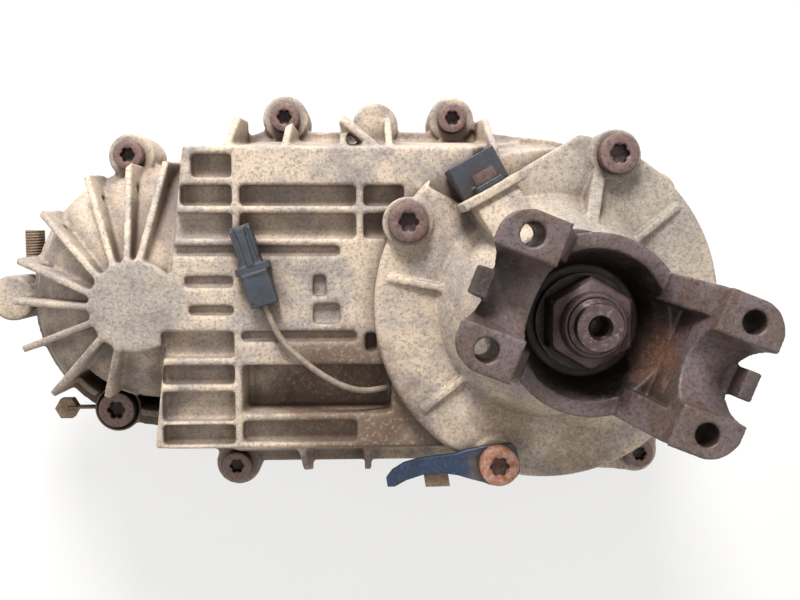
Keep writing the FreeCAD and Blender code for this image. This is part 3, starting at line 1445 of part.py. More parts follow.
def make_yoke():
    """End yoke: a hub on the spline, a cup round the nut and two ears with cap seats and threaded bosses."""
    half, side = k.yoke_length / 2, k.yoke_width / 2
    cup_top = NUT_SEAT + 22
    cup = spin((
        (k.yoke_spline + k.fit, BEARING_REAR + k.run_gap),
        (k.hub_outer, BEARING_REAR + k.run_gap),
        (k.hub_outer, SLINGER_FACE),
        (k.hub_outer + 5, SLINGER_FACE),
        (k.cup_radius, NUT_SEAT + 6),
        (k.cup_radius + 2, cup_top),
        (k.cup_radius - 5, cup_top),
        (k.washer_radius + 4, NUT_SEAT),
        (k.yoke_spline + k.fit, NUT_SEAT),
    ))
    arms = wedge(
        (0 - k.hub_outer - 2, k.hub_outer + 2, 0 - k.hub_outer + 2, k.hub_outer - 2),
        (0 - half, half, 0 - side, side),
        YOKE_FACE - ARM_FOOT,
        (0, 0, ARM_FOOT),
    )
    rounded = common(arms, cylinder(k.yoke_round, YOKE_FACE, MAIN))
    window = fuse(
        block((0 - k.yoke_opening, k.yoke_opening), (0 - side - 5, side + 5), (cup_top, YOKE_FACE + 1)),
        cone(k.washer_radius + 4, k.yoke_opening + 4, 36, (0, 0, NUT_SEAT)),
    )
    cap_seats = cylinder(k.cap_radius, 2 * half + 2, (0 - half - 1, 0, YOKE_FACE), 90, (0, 1, 0))
    bore = cylinder(k.yoke_spline + k.fit, YOKE_FACE, MAIN)
    boss_foot = YOKE_FACE - k.yoke_boss_height
    spots = [
        (x, y)
        for x in (k.yoke_hole_reach, 0 - k.yoke_hole_reach)
        for y in (k.yoke_hole_half, 0 - k.yoke_hole_half)
    ]
    relief = bolt_holes(spots, k.yoke_boss_radius, ARM_FOOT - 1, boss_foot)
    bosses = bolt_holes(spots, k.yoke_boss_radius, boss_foot, YOKE_FACE)
    holes = bolt_holes(spots, k.yoke_hole, boss_foot - 1, YOKE_FACE + 1)
    ears = fuse(cut(rounded, window, *relief), *bosses)
    body = cut(fuse(ears, cup), cap_seats, bore)
    lug_in = half - k.lug_thick
    lug_foot, lug_top = YOKE_FACE - k.cap_radius - 4, YOKE_FACE - k.lug_drop
    lugs = [
        block(reach, (0 - k.lug_half, k.lug_half), (lug_foot, lug_top))
        for reach in ((lug_in, half - 1), (1 - half, 0 - lug_in))
    ]
    seat = cylinder(k.washer_radius + 2, YOKE_FACE, (0, 0, NUT_SEAT))
    finished = cut(fuse(body, *lugs), *holes, seat)
    return place(group([finished]), MAIN, k.yoke_turn)


def make_washer():
    """Thick washer under the yoke nut."""
    return ring(k.thread_radius + k.fit, k.washer_radius, NUT_SEAT, WASHER_TOP)


def hex_nut(flats, bore, bottom, height, collar, collar_height, at=MAIN):
    """Hexagon nut with a locking collar."""
    x, y = at[0], at[1]
    corner = flats / (2 * cosine(30))
    body = common(
        prism(6, corner, height, (x, y, bottom)),
        cone(corner + 1.2, corner - 1.2, height, (x, y, bottom)),
    )
    top = cylinder(collar, collar_height + 1, (x, y, as_size(bottom) + height - 1))
    hole = cylinder(bore, height + collar_height + 2, (x, y, as_size(bottom) - 1))
    return cut(fuse(body, top), hole)


# ---------------------------------------------------------------- front output

def make_front_shaft():
    """Front output shaft from the companion flange to the bearing under the round pad."""
    front, rear = FLANGE_FRONT, TAIL_REAR
    return spin((
        (0, front),
        (k.front_thread, front),
        (k.front_thread, k.front_flange_thick + 1),
        (k.front_shaft, k.front_flange_thick + 1),
        (k.front_shaft, k.tail_bearing_front - 1),
        (k.tail_journal, k.tail_bearing_front - 1),
        (k.tail_journal, rear),
        (0, rear),
    ), FRONT)


def make_front_flange():
    """Companion flange for the front drive shaft, with a sunk seat for its nut."""
    bore = k.front_shaft + k.fit
    seat_face = k.front_flange_thick + 1
    disc = spin((
        (bore, seat_face),
        (k.front_flange_hub - 4, seat_face),
        (k.front_flange_hub - 4, 0),
        (k.front_flange_radius, 0),
        (k.front_flange_radius, k.front_flange_thick),
        (k.front_flange_hub + 4, k.front_flange_thick),
        (k.front_flange_hub, k.front_flange_thick + 8),
        (k.front_flange_hub, k.front_bearing_front - 0.5),
        (bore, k.front_bearing_front - 0.5),
    ), FRONT)
    holes = []
    for index in range(6):
        x, y = polar(k.front_circle, 60 * index + 30)
        holes.append(cylinder(k.front_hole, k.front_flange_thick + 2, (FRONT_X + x, y, -1)))
    return cut(disc, *holes)


def make_driven_sprocket():
    """Sprocket on the front output shaft."""
    return gear(
        k.sprocket_teeth, TOOTH_TIP, TOOTH_TIP - k.tooth_depth, k.chain_front + 1, CHAIN_REAR - 1,
        k.front_shaft + k.fit, share=(0.16, 0.34), at=FRONT,
    )


# ---------------------------------------------------------------- sensor, loom and small parts

def make_speed_sensor():
    """Sensor in its boss, with a square head and an open socket for its plug."""
    seat = k.boss_reach
    low, high = k.sensor_z - k.sensor_width / 2, k.sensor_z + k.sensor_width / 2
    body = spoke(k.sensor_radius, k.tone_radius + 1, seat + 1, k.sensor_turn, k.sensor_z)
    top = seat + k.sensor_height
    head = rib(((seat, low), (top, low), (top, high), (seat, high)), k.sensor_long, MAIN, k.sensor_turn)
    tab_top = SENSOR_BOLT_Z + k.tab_end
    tab = rib(
        ((seat, low), (seat + k.tab_thick, low), (seat + k.tab_thick, tab_top), (seat, tab_top)),
        k.sensor_width * 0.7, MAIN, k.sensor_turn,
    )
    socket = rib(
        ((top - 10, low + 2), (top + 1, low + 2), (top + 1, high - 2), (top - 10, high - 2)),
        k.sensor_long - 4, MAIN, k.sensor_turn,
    )
    outer = seat + k.tab_thick + 1
    hole = spoke(k.sensor_screw + k.hole_play, seat - 1, outer, k.sensor_turn, SENSOR_BOLT_Z)
    return cut(fuse(body, head, tab), socket, hole)


def make_sensor_bolt():
    """Hexagon bolt that holds the sensor."""
    seat = k.boss_reach + k.tab_thick
    shank = spoke(k.sensor_screw, seat - 16, seat + 1, k.sensor_turn, SENSOR_BOLT_Z)
    x, y = polar(seat, k.sensor_turn)
    head = prism(6, k.sensor_screw * 2.2, 6, (x, y, SENSOR_BOLT_Z))
    return fuse(shank, lay_outward(head, k.sensor_turn))


def wire_path():
    """Straight runs joined by arcs as large as the runs allow; prints the radii."""
    points = [FreeCAD.Vector(*spot) for spot in WIRE]
    edges = []
    start = points[0]
    radii = []
    for before, corner, after in zip(points, points[1:], points[2:]):
        arrive, leave = corner - before, after - corner
        turn = arrive.getAngle(leave)
        tangent = 0.45 * min(arrive.Length, leave.Length)
        radii.append(tangent / math.tan(turn / 2))
        first = corner - FreeCAD.Vector(arrive).normalize() * tangent
        last = corner + FreeCAD.Vector(leave).normalize() * tangent
        inward = (first + last) / 2 - corner
        centre = corner + inward * (radii[-1] / math.cos(turn / 2) / inward.Length)
        middle = centre + (corner - centre).normalize() * radii[-1]
        edges.append(Part.LineSegment(start, first).toShape())
        edges.append(Part.Arc(first, middle, last).toShape())
        start = last
    edges.append(Part.LineSegment(start, points[-1]).toShape())
    print("wire bend radii:", ", ".join(f"{radius:.1f}" for radius in radii))
    return Part.Wire(edges)


def make_wire():
    """Single wire from the clutch coil to its connector."""
    path = wire_path()
    direction = path.Edges[0].tangentAt(path.Edges[0].FirstParameter)
    circle = Part.makeCircle(float(k.wire_radius), path.Edges[0].Vertexes[0].Point, direction)
    tube = path.makePipeShell([Part.Wire(circle)], True, False)
    print(f"wire length {path.Length:.1f}, volume ratio {tube.Volume / (circle_area() * path.Length):.4f}")
    return solid(tube)


def circle_area():
    """Section of the wire."""
    return math.pi * float(k.wire_radius) ** 2


def make_connector():
    """Two-piece wire connector with a latch, lying on the ribs in line with the end of the wire."""
    length, width, tall = k.connector_length, k.connector_width, k.connector_height
    mate_start = k.grip_length + k.lip_length
    grip = box(k.grip_length, width, tall, (0, 0 - width / 2, 0))
    lip = box(k.lip_length, width + 2 * k.lip_rise, tall, (k.grip_length, 0 - width / 2 - k.lip_rise, 0))
    mate = box(
        length - mate_start, width - 2 * k.mate_inset, tall - 1,
        (mate_start, k.mate_inset - width / 2, 0),
    )
    latch_start = (length / 2, 0 - k.latch_width / 2, tall - 1)
    latch = box(k.latch_length, k.latch_width, k.latch_thick, latch_start)
    body = fuse(grip, lip, mate, latch)
    end, before = FreeCAD.Vector(*WIRE[-1]), FreeCAD.Vector(*WIRE[-2])
    heading = end - before
    turn = math.degrees(math.atan2(heading.y, heading.x))
    holder = group([body])
    spot = FreeCAD.Vector(end.x, end.y, float(k.rear_face + k.run_gap))
    holder.Placement = FreeCAD.Placement(spot, FreeCAD.Rotation(FreeCAD.Vector(0, 0, 1), turn))
    return holder


def make_grommet():
    """Rubber grommet where the wire leaves the clutch housing."""
    return grommet(k.grommet_radius, k.grommet_length)


def make_bracket():
    """Bent steel strap under the lowest retainer bolt."""
    x, y = RETAINER_BOLTS[3]
    seat = RETAINER_TOP + 2
    thick = k.strap_thick
    profile = (
        (k.strap_end, seat),
        (k.strap_end, seat + thick),
        (0 - k.strap_flat, seat + thick),
        (0 - k.strap_bend, seat - k.strap_drop + thick),
        (0 - k.strap_reach, seat - k.strap_tip_drop + thick),
        (0 - k.strap_reach, seat - k.strap_tip_drop),
        (0 - k.strap_bend, seat - k.strap_drop),
        (0 - k.strap_flat, seat),
    )
    strap = rib(profile, k.strap_width, (x, y, 0), k.strap_turn)
    return cut(strap, cylinder(k.retainer_bolt + k.hole_play, thick + 2, (x, y, seat - 1)))


def make_clip():
    """Thin sheet clip round the corner bolt, with a hooked tongue and a nut."""
    x, y = CORNER
    base = EAR_TOP
    outer = k.corner_head + k.clip_play
    tall, thick = k.clip_band, k.clip_thick
    band = cut(cylinder(outer, tall, (x, y, base)), cylinder(outer - 1, tall + 2, (x, y, base - 1)))
    hole = cylinder(k.case_bolt + k.hole_play, thick + 2, (x, y, base - 1))
    foot = cut(cylinder(outer, thick, (x, y, base)), hole)
    tongue = box(k.tongue_length, 1.2, tall, (x - outer - k.tongue_length + 1, y, base))
    nut = prism(6, k.clip_nut, tall - 1, (x - outer - k.tongue_length, y, base))
    return fuse(band, foot, tongue, nut)


def make_stud():
    """Threaded locating stud between two lugs at the left end."""
    x, y = LEFT_EAR
    return cylinder(k.stud_radius, k.stud_length, (x + k.stud_x, y + k.stud_y, k.split_face), 90, (1, 0, 0))


def make_plugs():
    """Fill and drain plugs in the front side of the chain housing."""
    plugs = []
    for x, y in PLUGS:
        shank = cylinder(k.plug_radius, k.case_wall + 1, (x, y, k.floor_face - 1))
        head = prism(6, k.plug_radius + 3, 6, (x, y, k.floor_face - 6))
        plugs.append(fuse(shank, head))
    return group(plugs)


# ---------------------------------------------------------------- assembly

def bearing(inner, outer, bottom, width, at):
    """Outer and inner race of a shielded ball bearing."""
    middle = (as_size(inner) + outer) / 2
    low, high = bottom, bottom + width
    outer_race = ring(middle + k.race_gap / 2, outer, low, high, at)
    inner_race = ring(inner + k.fit, middle - k.race_gap / 2, low, high, at)
    return outer_race, inner_race


node("front_case", make_front_case())
node("rear_case", make_rear_case())
node("rear_retainer", make_retainer())

case_length = EAR_TOP - k.split_face + k.bolt_grip - k.bolt_end
case_screws = [
    screw((x, y, EAR_TOP), k.case_bolt, case_length, k.case_head, k.head_height)
    for x, y in CASE_EARS
]
corner_seat = EAR_TOP + k.clip_thick
case_screws.append(
    screw((*CORNER, corner_seat), k.case_bolt, case_length, k.corner_head, k.corner_head_height)
)
node("case_bolts", group(case_screws))
node("retainer_bolts", group([
    screw(
        (x, y, RETAINER_TOP + 2 + lift), k.retainer_bolt, k.retainer_thick + k.retainer_grip,
        k.retainer_head, k.retainer_head_height,
    )
    for (x, y), lift in zip(RETAINER_BOLTS, (0, 0, 0, k.strap_thick))
]))
dowel_foot = k.split_face - k.dowel_half + 0.5
node("dowel_pins", group([
    cylinder(k.dowel_radius, 2 * k.dowel_half - 1, (x, y, dowel_foot)) for x, y in DOWELS
]))
node("oil_plugs", make_plugs())

node("input_shaft", make_input_shaft())
input_outer, input_inner = bearing(
    k.input_journal, k.input_bearing_radius, k.input_bearing_front, k.input_bearing_width, MAIN,
)
node("input_bearing_outer", input_outer)
node("input_bearing_inner", input_inner)
seal_rear = k.input_bearing_front - 1
node("input_seal", lip_seal(k.input_journal, k.input_seal_radius, seal_rear - k.input_seal_width, seal_rear))
node("ring_gear", make_ring_gear())
node("planet_carrier", make_carrier())
node("planet_pins", make_planet_pins())
for index in range(int(k.planet_count)):
    node(f"planet_gear_{index + 1}", make_planet(index))
node("range_collar", make_collar())
node("range_fork", make_fork())
node("shift_rail", cylinder(k.rail_radius, k.split_face - k.gear_front - 3, (*RAIL, k.gear_front + 1)))
node("shift_shaft", make_shift_shaft())
node("shift_motor", make_shift_motor())

node("main_shaft", make_main_shaft())
node("oil_pump", make_pump_housing())
node("oil_pump_rotor", make_rotor())
node("pickup_tube", make_pickup())
node("oil_strainer", make_strainer())
node("drive_sprocket", make_drive_sprocket())
node("driven_sprocket", make_driven_sprocket())
node("drive_chain", make_chain())
node("clutch_drum", make_drum())
node("clutch_hub", make_clutch_hub())
node("friction_discs", discs(k.hub_radius + k.fit, k.drum_radius - k.drum_wall - 2, PACK_FRONT))
node("steel_discs", discs(
    k.hub_radius + 2, k.drum_radius - k.drum_wall - k.fit, PACK_FRONT + k.disc_thick + k.disc_gap,
))
armature_front = PACK_REAR + k.disc_gap
node("clutch_armature", ring(
    k.coil_inner, k.drum_radius - k.drum_wall - k.fit, armature_front, armature_front + k.armature_thick,
))
node("clutch_coil", ring(k.coil_inner, k.coil_radius, k.rear_face - k.coil_width, k.rear_face))
rear_outer, rear_inner = bearing(
    k.rear_journal, k.rear_bearing_radius, k.rear_bearing_front, k.rear_bearing_width, MAIN,
)
node("rear_bearing_outer", rear_outer)
node("rear_bearing_inner", rear_inner)
node("snap_ring", ring(
    k.snap_radius - 5, k.snap_radius - 0.2,
    k.rear_bearing_front - k.snap_thick - 0.1, k.rear_bearing_front - 0.1,
))
node("tone_ring", make_tone_ring())
node("rear_seal", lip_seal(k.hub_outer, k.seal_radius, k.retainer_end - k.seal_width, k.retainer_end))
node("slinger", make_slinger())
node("rear_yoke", make_yoke())
node("yoke_washer", make_washer())
node("yoke_nut", hex_nut(
    k.nut_flats, k.thread_radius + k.fit, WASHER_TOP, k.nut_height, k.collar_radius, k.collar_height,
))

node("front_shaft", make_front_shaft())
node("front_flange", make_front_flange())
node("front_nut", hex_nut(
    k.nut_flats, k.front_thread + k.fit, FLANGE_FRONT + 1, FLANGE_SEAT - FLANGE_FRONT - 2,
    k.collar_radius, 1, FRONT,
))
front_outer, front_inner = bearing(
    k.front_shaft, k.front_bearing_radius, k.front_bearing_front, k.front_bearing_width, FRONT,
)
tail_outer, tail_inner = bearing(
    k.tail_journal, k.tail_bearing_radius, k.tail_bearing_front, k.tail_bearing_width, FRONT,
)
node("front_bearing_outers", group([front_outer, tail_outer]))
node("front_bearing_inners", group([front_inner, tail_inner]))
node("front_seal", lip_seal(
    k.front_flange_hub, k.front_seal_radius, k.seal_front, k.front_bearing_front - 4, FRONT,
))

node("speed_sensor", make_speed_sensor())
node("sensor_bolt", make_sensor_bolt())
node("wire_grommet", make_grommet())
node("clutch_wire", make_wire())
node("wire_connector", make_connector())
node("wire_bracket", make_bracket())
node("corner_clip", make_clip())
node("locating_stud", make_stud())

doc.recompute()
for item in doc.Objects:
    if "Invalid" in item.State or "Error" in item.State:
        raise RuntimeError(f"{item.Name} ({item.Label}) failed: {item.State}")
for name, thing in NODES.items():
    if thing.Shape.isNull() or not thing.Shape.isValid() or thing.Shape.Volume <= 0:
        raise RuntimeError(f"{name} has no sound shape")
os.makedirs("parts", exist_ok=True)
for name, thing in NODES.items():
    thing.Shape.exportStep(f"parts/{name}.step")
print(f"{len(NODES)} nodes written")
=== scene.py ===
"""Dresses a two-speed transfer case: worn castings, fasteners, yoke, bracket and loom, on a plain floor."""

import json
import math

import bmesh
import bpy
from mathutils import Matrix, Vector


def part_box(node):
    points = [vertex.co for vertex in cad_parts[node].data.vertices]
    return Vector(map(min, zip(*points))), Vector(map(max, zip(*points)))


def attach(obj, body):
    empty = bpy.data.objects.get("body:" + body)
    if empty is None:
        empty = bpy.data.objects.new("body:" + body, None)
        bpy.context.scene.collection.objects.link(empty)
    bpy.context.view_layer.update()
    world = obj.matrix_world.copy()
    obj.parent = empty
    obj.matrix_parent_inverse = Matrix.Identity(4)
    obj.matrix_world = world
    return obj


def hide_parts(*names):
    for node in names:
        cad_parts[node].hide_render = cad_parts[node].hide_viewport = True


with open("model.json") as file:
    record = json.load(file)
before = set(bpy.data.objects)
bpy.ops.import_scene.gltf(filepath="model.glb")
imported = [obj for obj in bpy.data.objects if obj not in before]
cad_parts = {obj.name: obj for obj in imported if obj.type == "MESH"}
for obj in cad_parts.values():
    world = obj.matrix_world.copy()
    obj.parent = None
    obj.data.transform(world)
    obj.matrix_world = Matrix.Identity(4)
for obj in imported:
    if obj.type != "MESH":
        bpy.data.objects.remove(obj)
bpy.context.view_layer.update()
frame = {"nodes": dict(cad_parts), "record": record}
NODES = frame["nodes"]
SLOTS = {part["node"]: part["material_slot"] for part in frame["record"]["subparts"]}
MM = 0.001

# Lengths are in metres and angles in degrees. The main shaft is the Z axis and the rear end is up.
FRONT_X = -0.22225  # axis of the front output

# The yoke's ears: their turn about the shaft, outer end, side, and the radius of their corners.
YOKE_TURN = -21.3
YOKE_REACH = 0.0600
YOKE_SIDE = 0.0332
EAR_CORNER = 0.0150

# Fasteners: heights of the bolt heads, bore of both nuts, and the height above which a nut is a tall one.
CASE_HEAD = 8 * MM
CORNER_HEAD = 10 * MM
RETAINER_HEAD = 7 * MM
NUT_BORE = 12 * MM
TALL_NUT = 12 * MM
THREAD_PITCH = 1.75 * MM
THREAD_DEPTH = 0.55 * MM

BRACKET_TURN = 9.0
BRACKET_SHEET = 3 * MM

WIRE_DIAMETER = 3.3 * MM
WIRE_ROUTE = (
    (-0.0865, -0.0460, 0.1710),
    (-0.0955, -0.0472, 0.1752),
    (-0.1050, -0.0454, 0.1798),
    (-0.1155, -0.0406, 0.1826),
    (-0.1260, -0.0335, 0.1834),
    (-0.1350, -0.0262, 0.1832),
    (-0.1433, -0.0176, 0.1829),
    (-0.1486, -0.0080, 0.1828),
    (-0.1516, 0.0015, 0.1828),
)

# The camera looks down on the rear end, turned about Y and then tilted about its own X axis.
CAMERA_AT = (-0.09604, 0.03772, 0.59882)
CAMERA_TURN = -2.28309
CAMERA_TILT = -4.64737
CAMERA_LENS = 34.875

# Lamps: name, place, width and power in watts. All aim near the middle of the object.
LAMPS = (
    ("key", (-0.25, 1.05, 0.80), 0.35, 24),
    ("fill", (0.55, -0.30, 1.30), 1.1, 4),
    ("side", (-1.15, 0.10, 0.70), 0.8, 3),
)
LAMP_AIM = (-0.11, 0, 0.12)
FLOOR_WIDTH = 8
FLOOR_HEIGHT = -0.0005  # just under the face that the object stands on
FLOOR_GLOW = 0.62
SKY_STRENGTH = 0.42

# Sizes that all worn surfaces share: pale flecks, dark speckle, grain of the relief, how far the painted
# shade reaches out of a corner, and the radius that an edge is rounded by.
FLECK_SIZE = 0.0022
SPECKLE_SIZE = 0.0017
GRAIN_SIZE = 0.0012
PAINTED_SHADE_REACH = 0.012
EDGE_RADIUS = 0.5 * MM

# Vertices that lie closer than this are one vertex.
WELD_GAP = 0.002 * MM

# The finish of each slot: two base colours, pale fleck, colour of grime and of painted corner shade,
# patch size, roughness, metal share and depth of the relief.
FINISHES = {
    "cast_aluminium": ("#CBB8A3", "#A69B93", "#E0D5C8", "#5C4B40", 0.024, 0.68, 0.10, 0.00035),
    "bolt_steel": ("#6E5A59", "#7E6156", "#9A8784", "#2E211E", 0.004, 0.60, 0.35, 0.00020),
    "yoke_iron": ("#5F4D45", "#6C5E5F", "#8A7D7D", "#271C18", 0.016, 0.52, 0.30, 0.00022),
    "machined_steel": ("#8C8582", "#6E6460", "#A8A29E", "#3A302B", 0.012, 0.36, 0.85, 0.00005),
    "gear_steel": ("#9A958F", "#7C766F", "#B0ABA5", "#37302B", 0.010, 0.32, 0.85, 0.00004),
    "friction_lining": ("#5A4636", "#463628", "#6A5644", "#241B14", 0.006, 0.85, 0.0, 0.00010),
    "coil_housing": ("#6F6C68", "#5B5650", "#84807A", "#2E2925", 0.010, 0.45, 0.70, 0.00008),
    "seal_rubber": ("#2C2A2A", "#3A3633", "#45403C", "#5A4837", 0.008, 0.70, 0.0, 0.00008),
    "motor_grey": ("#8A8780", "#75716B", "#9C9992", "#4A3C30", 0.015, 0.55, 0.35, 0.00012),
    "black_plastic": ("#343A45", "#2A2D35", "#4C525E", "#3A322B", 0.006, 0.50, 0.0, 0.00008),
    "wire_jacket": ("#94867A", "#857766", "#A89B8C", "#5E4B38", 0.006, 0.60, 0.0, 0.00006),
}
# Finishes of single pieces that differ from their slot: a bolt head rusted orange and pink, passivated
# steel worn from dark blue to ochre, brown steel of small hardware, and dark steel of the nuts.
OWN_FINISHES = {
    "rust": ("#B08A7C", "#A4653F", "#D0B3A4", "#4A3630", 0.004, 0.72, 0.10, 0.0003),
    "blue_steel": ("#2C3A52", "#26324A", "#5B6C86", "#1C1B20", 0.010, 0.45, 0.35, 0.00012),
    "brown_steel": ("#7A6552", "#8F7A60", "#A8967C", "#3A2C22", 0.006, 0.65, 0.20, 0.00020),
    "dark_steel": ("#4F4040", "#5D4A49", "#77645F", "#1E1615", 0.006, 0.50, 0.35, 0.00016),
}
# Stains and painted shade of a finish: centre, reach, width of the soft edge, colour and strength.
STAINS_AND_SHADE = {
    "cast_aluminium": (
        ((-0.105, -0.062, 0.155), 0.048, 0.022, "#5B412C", 0.85),
        ((-0.060, -0.088, 0.150), 0.040, 0.026, "#5E452F", 0.70),
        # Darker towards the lower left end of the case.
        ((-0.165, -0.105, 0.110), 0.060, 0.030, "#5A4635", 0.60),
        ((-0.236, -0.062, 0.115), 0.030, 0.014, "#43362B", 0.85),
        ((-0.290, -0.045, 0.095), 0.050, 0.030, "#5C4A3A", 0.60),
        ((-0.222, 0.000, 0.180), 0.026, 0.006, "#98928A", 0.65),
        ((0.046, 0.058, 0.190), 0.052, 0.030, "#948E84", 0.65),
        ((-0.022, -0.062, 0.190), 0.016, 0.010, "#6B5238", 0.55),
        ((0.018, -0.080, 0.190), 0.020, 0.014, "#6B5238", 0.50),
    ),
    "yoke_iron": (
        # Painted shade inside the cup of the yoke.
        ((0.000, 0.000, 0.262), 0.035, 0.012, "#1C1413", 0.92),
        ((0.040, -0.020, 0.272), 0.017, 0.016, "#7A5138", 0.70),
        # Darker at the cap seats on the ends of the two ears.
        ((-0.050, 0.020, 0.298), 0.014, 0.010, "#211714", 0.75),
        ((0.058, -0.028, 0.300), 0.014, 0.010, "#2A1E19", 0.60),
    ),
    "machined_steel": (
        ((0.000, 0.000, 0.282), 0.034, 0.012, "#4A3939", 0.92),
    ),
    "blue_steel": (
        ((-0.030, -0.086, 0.178), 0.016, 0.012, "#8B7148", 0.85),
    ),
}


# ---------------------------------------------------------------- materials

def colour(text):
    """A linear colour from its six-digit sRGB form."""
    parts = [int(text[i:i + 2], 16) / 255 for i in (1, 3, 5)]
    linear = [p / 12.92 if p <= 0.04045 else ((p + 0.055) / 1.055) ** 2.4 for p in parts]
    return (*linear, 1.0)


class Graph:
    """The nodes of one material."""

    def __init__(self, name):
        self.material = bpy.data.materials.new(name)
        self.material.use_nodes = True
        self.tree = self.material.node_tree
        self.shader = self.tree.nodes["Principled BSDF"]
        self.place = self.add("ShaderNodeTexCoord").outputs["Object"]

    def add(self, kind):
        return self.tree.nodes.new(kind)

    def link(self, start, end):
        self.tree.links.new(start, end)

    def noise(self, size, detail=4.0, rough=0.6):
        """Noise with features of the given size."""
        item = self.add("ShaderNodeTexNoise")
        item.inputs["Scale"].default_value = 1 / size
        item.inputs["Detail"].default_value = detail
        item.inputs["Roughness"].default_value = rough
        self.link(self.place, item.inputs["Vector"])
        return item.outputs["Fac"]

    def near(self, centre, reach, edge, strength):
        """Strength within a reach of a point, fading over a ragged edge."""
        gap = self.add("ShaderNodeVectorMath")
        gap.operation = "DISTANCE"
        gap.inputs[1].default_value = centre
        self.link(self.place, gap.inputs[0])
        ragged = self.add("ShaderNodeMath")
        ragged.operation = "ADD"
        self.link(gap.outputs["Value"], ragged.inputs[0])
        wander = self.step(self.noise(edge * 1.5, 5.0), 0.3, 0.7, -edge * 0.5, edge * 0.5)
        self.link(wander, ragged.inputs[1])
        return self.step(ragged.outputs[0], reach - edge / 2, reach + edge / 2, strength, 0.0)

    def step(self, source, low, high, start=0.0, end=1.0):
        """Runs from start to end while the source runs from low to high."""
        item = self.add("ShaderNodeMapRange")
        for name, amount in (("From Min", low), ("From Max", high), ("To Min", start), ("To Max", end)):
            item.inputs[name].default_value = amount
        self.link(source, item.inputs["Value"])
        return item.outputs["Result"]

    def mix(self, share, first, second):
        """Colour between two colours; either may be a colour or a socket."""
        item = self.add("ShaderNodeMix")
        item.data_type = "RGBA"
        self.link(share, item.inputs[0])
        for socket, value in ((item.inputs[6], first), (item.inputs[7], second)):
            if isinstance(value, tuple):
                socket.default_value = value
            else:
                self.link(value, socket)
        return item.outputs[2]

    def crevices(self, reach):
        """How far a point lies in a corner, from 0 in the open to 1."""
        item = self.add("ShaderNodeAmbientOcclusion")
        item.samples = 6
        item.inputs["Distance"].default_value = reach
        return self.step(item.outputs["AO"], 0.95, 0.35)

    def bump(self, height, depth, soften):
        """Surface relief over edges that are rounded by the given radius."""
        edge = self.add("ShaderNodeBevel")
        edge.samples = 4
        edge.inputs["Radius"].default_value = soften
        item = self.add("ShaderNodeBump")
        item.inputs["Distance"].default_value = depth
        item.inputs["Strength"].default_value = 0.9
        self.link(height, item.inputs["Height"])
        self.link(edge.outputs["Normal"], item.inputs["Normal"])
        self.link(item.outputs["Normal"], self.shader.inputs["Normal"])


def worn(name, finish, stains_and_shade):
    """A weathered surface: mottling, pale flecks, dark speckle, stains and painted shade in the corners."""
    first, second, fleck, grime_and_shade, patch, rough, metal, relief = finish
    graph = Graph(name)
    mottling = graph.step(graph.noise(patch), 0.42, 0.60)
    skin = graph.mix(mottling, colour(first), colour(second))
    # Stains, and patches of painted shade, laid over the base colours.
    for centre, reach, edge, tint, strength in stains_and_shade:
        skin = graph.mix(graph.near(centre, reach, edge, strength), skin, colour(tint))
    flecks = graph.step(graph.noise(FLECK_SIZE, 3.0, 0.7), 0.52, 0.72, 0.0, 0.35)
    skin = graph.mix(flecks, skin, colour(fleck))
    speckle = graph.step(graph.noise(SPECKLE_SIZE, 4.0, 0.85), 0.49, 0.62, 0.0, 0.62)
    skin = graph.mix(speckle, skin, colour(grime_and_shade))
    smears = graph.step(graph.noise(patch * 2.0, 7.0, 0.75), 0.54, 0.76, 0.0, 0.40)
    skin = graph.mix(smears, skin, colour(grime_and_shade))
    # Painted shade: corners and recesses darken to the grime colour, as if shade fell there.
    skin = graph.mix(graph.crevices(PAINTED_SHADE_REACH), skin, colour(grime_and_shade))
    graph.link(skin, graph.shader.inputs["Base Color"])
    dullness = graph.step(graph.noise(patch * 0.5), 0.3, 0.7, rough - 0.10, rough + 0.12)
    graph.link(dullness, graph.shader.inputs["Roughness"])
    graph.shader.inputs["Metallic"].default_value = metal
    graph.bump(graph.noise(GRAIN_SIZE, 5.0, 0.7), relief, EDGE_RADIUS)
    return graph.material


def seen_directly(tree):
    """1 for what the camera, gloss or glass looks at, and 0 for the light that falls on the object."""
    path = tree.nodes.new("ShaderNodeLightPath")
    seen = path.outputs["Is Camera Ray"]
    for name in ("Is Glossy Ray", "Is Transmission Ray"):
        either = tree.nodes.new("ShaderNodeMath")
        either.operation = "MAXIMUM"
        tree.links.new(seen, either.inputs[0])
        tree.links.new(path.outputs[name], either.inputs[1])
        seen = either.outputs[0]
    return seen


def floor_surface(name):
    """Matt white floor that looks white and keeps the object's shadow."""
    graph = Graph(name)
    tone = graph.mix(graph.noise(0.2), colour("#F4F3F1"), colour("#FAF9F7"))
    graph.link(tone, graph.shader.inputs["Base Color"])
    graph.shader.inputs["Roughness"].default_value = 0.9
    glow = graph.add("ShaderNodeEmission")
    share = graph.step(seen_directly(graph.tree), 0.0, 1.0, 0.0, FLOOR_GLOW)
    blend = graph.add("ShaderNodeMixShader")
    out = graph.tree.nodes["Material Output"]
    graph.link(share, blend.inputs[0])
    graph.link(graph.shader.outputs[0], blend.inputs[1])
    graph.link(glow.outputs[0], blend.inputs[2])
    graph.link(blend.outputs[0], out.inputs["Surface"])
    return graph.material


MATERIALS = {
    name: worn(name, finish, STAINS_AND_SHADE.get(name, ()))
    for name, finish in (FINISHES | OWN_FINISHES).items()
}


# ---------------------------------------------------------------- building blocks

def dress(thing, body, slot, *nodes, finish=None):
    """Gives a piece its finish, its body and the CAD nodes that it stands for."""
    thing.data.materials.clear()
    thing.data.materials.append(MATERIALS[finish or slot])
    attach(thing, body)
    if nodes:
        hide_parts(*nodes)
    return thing


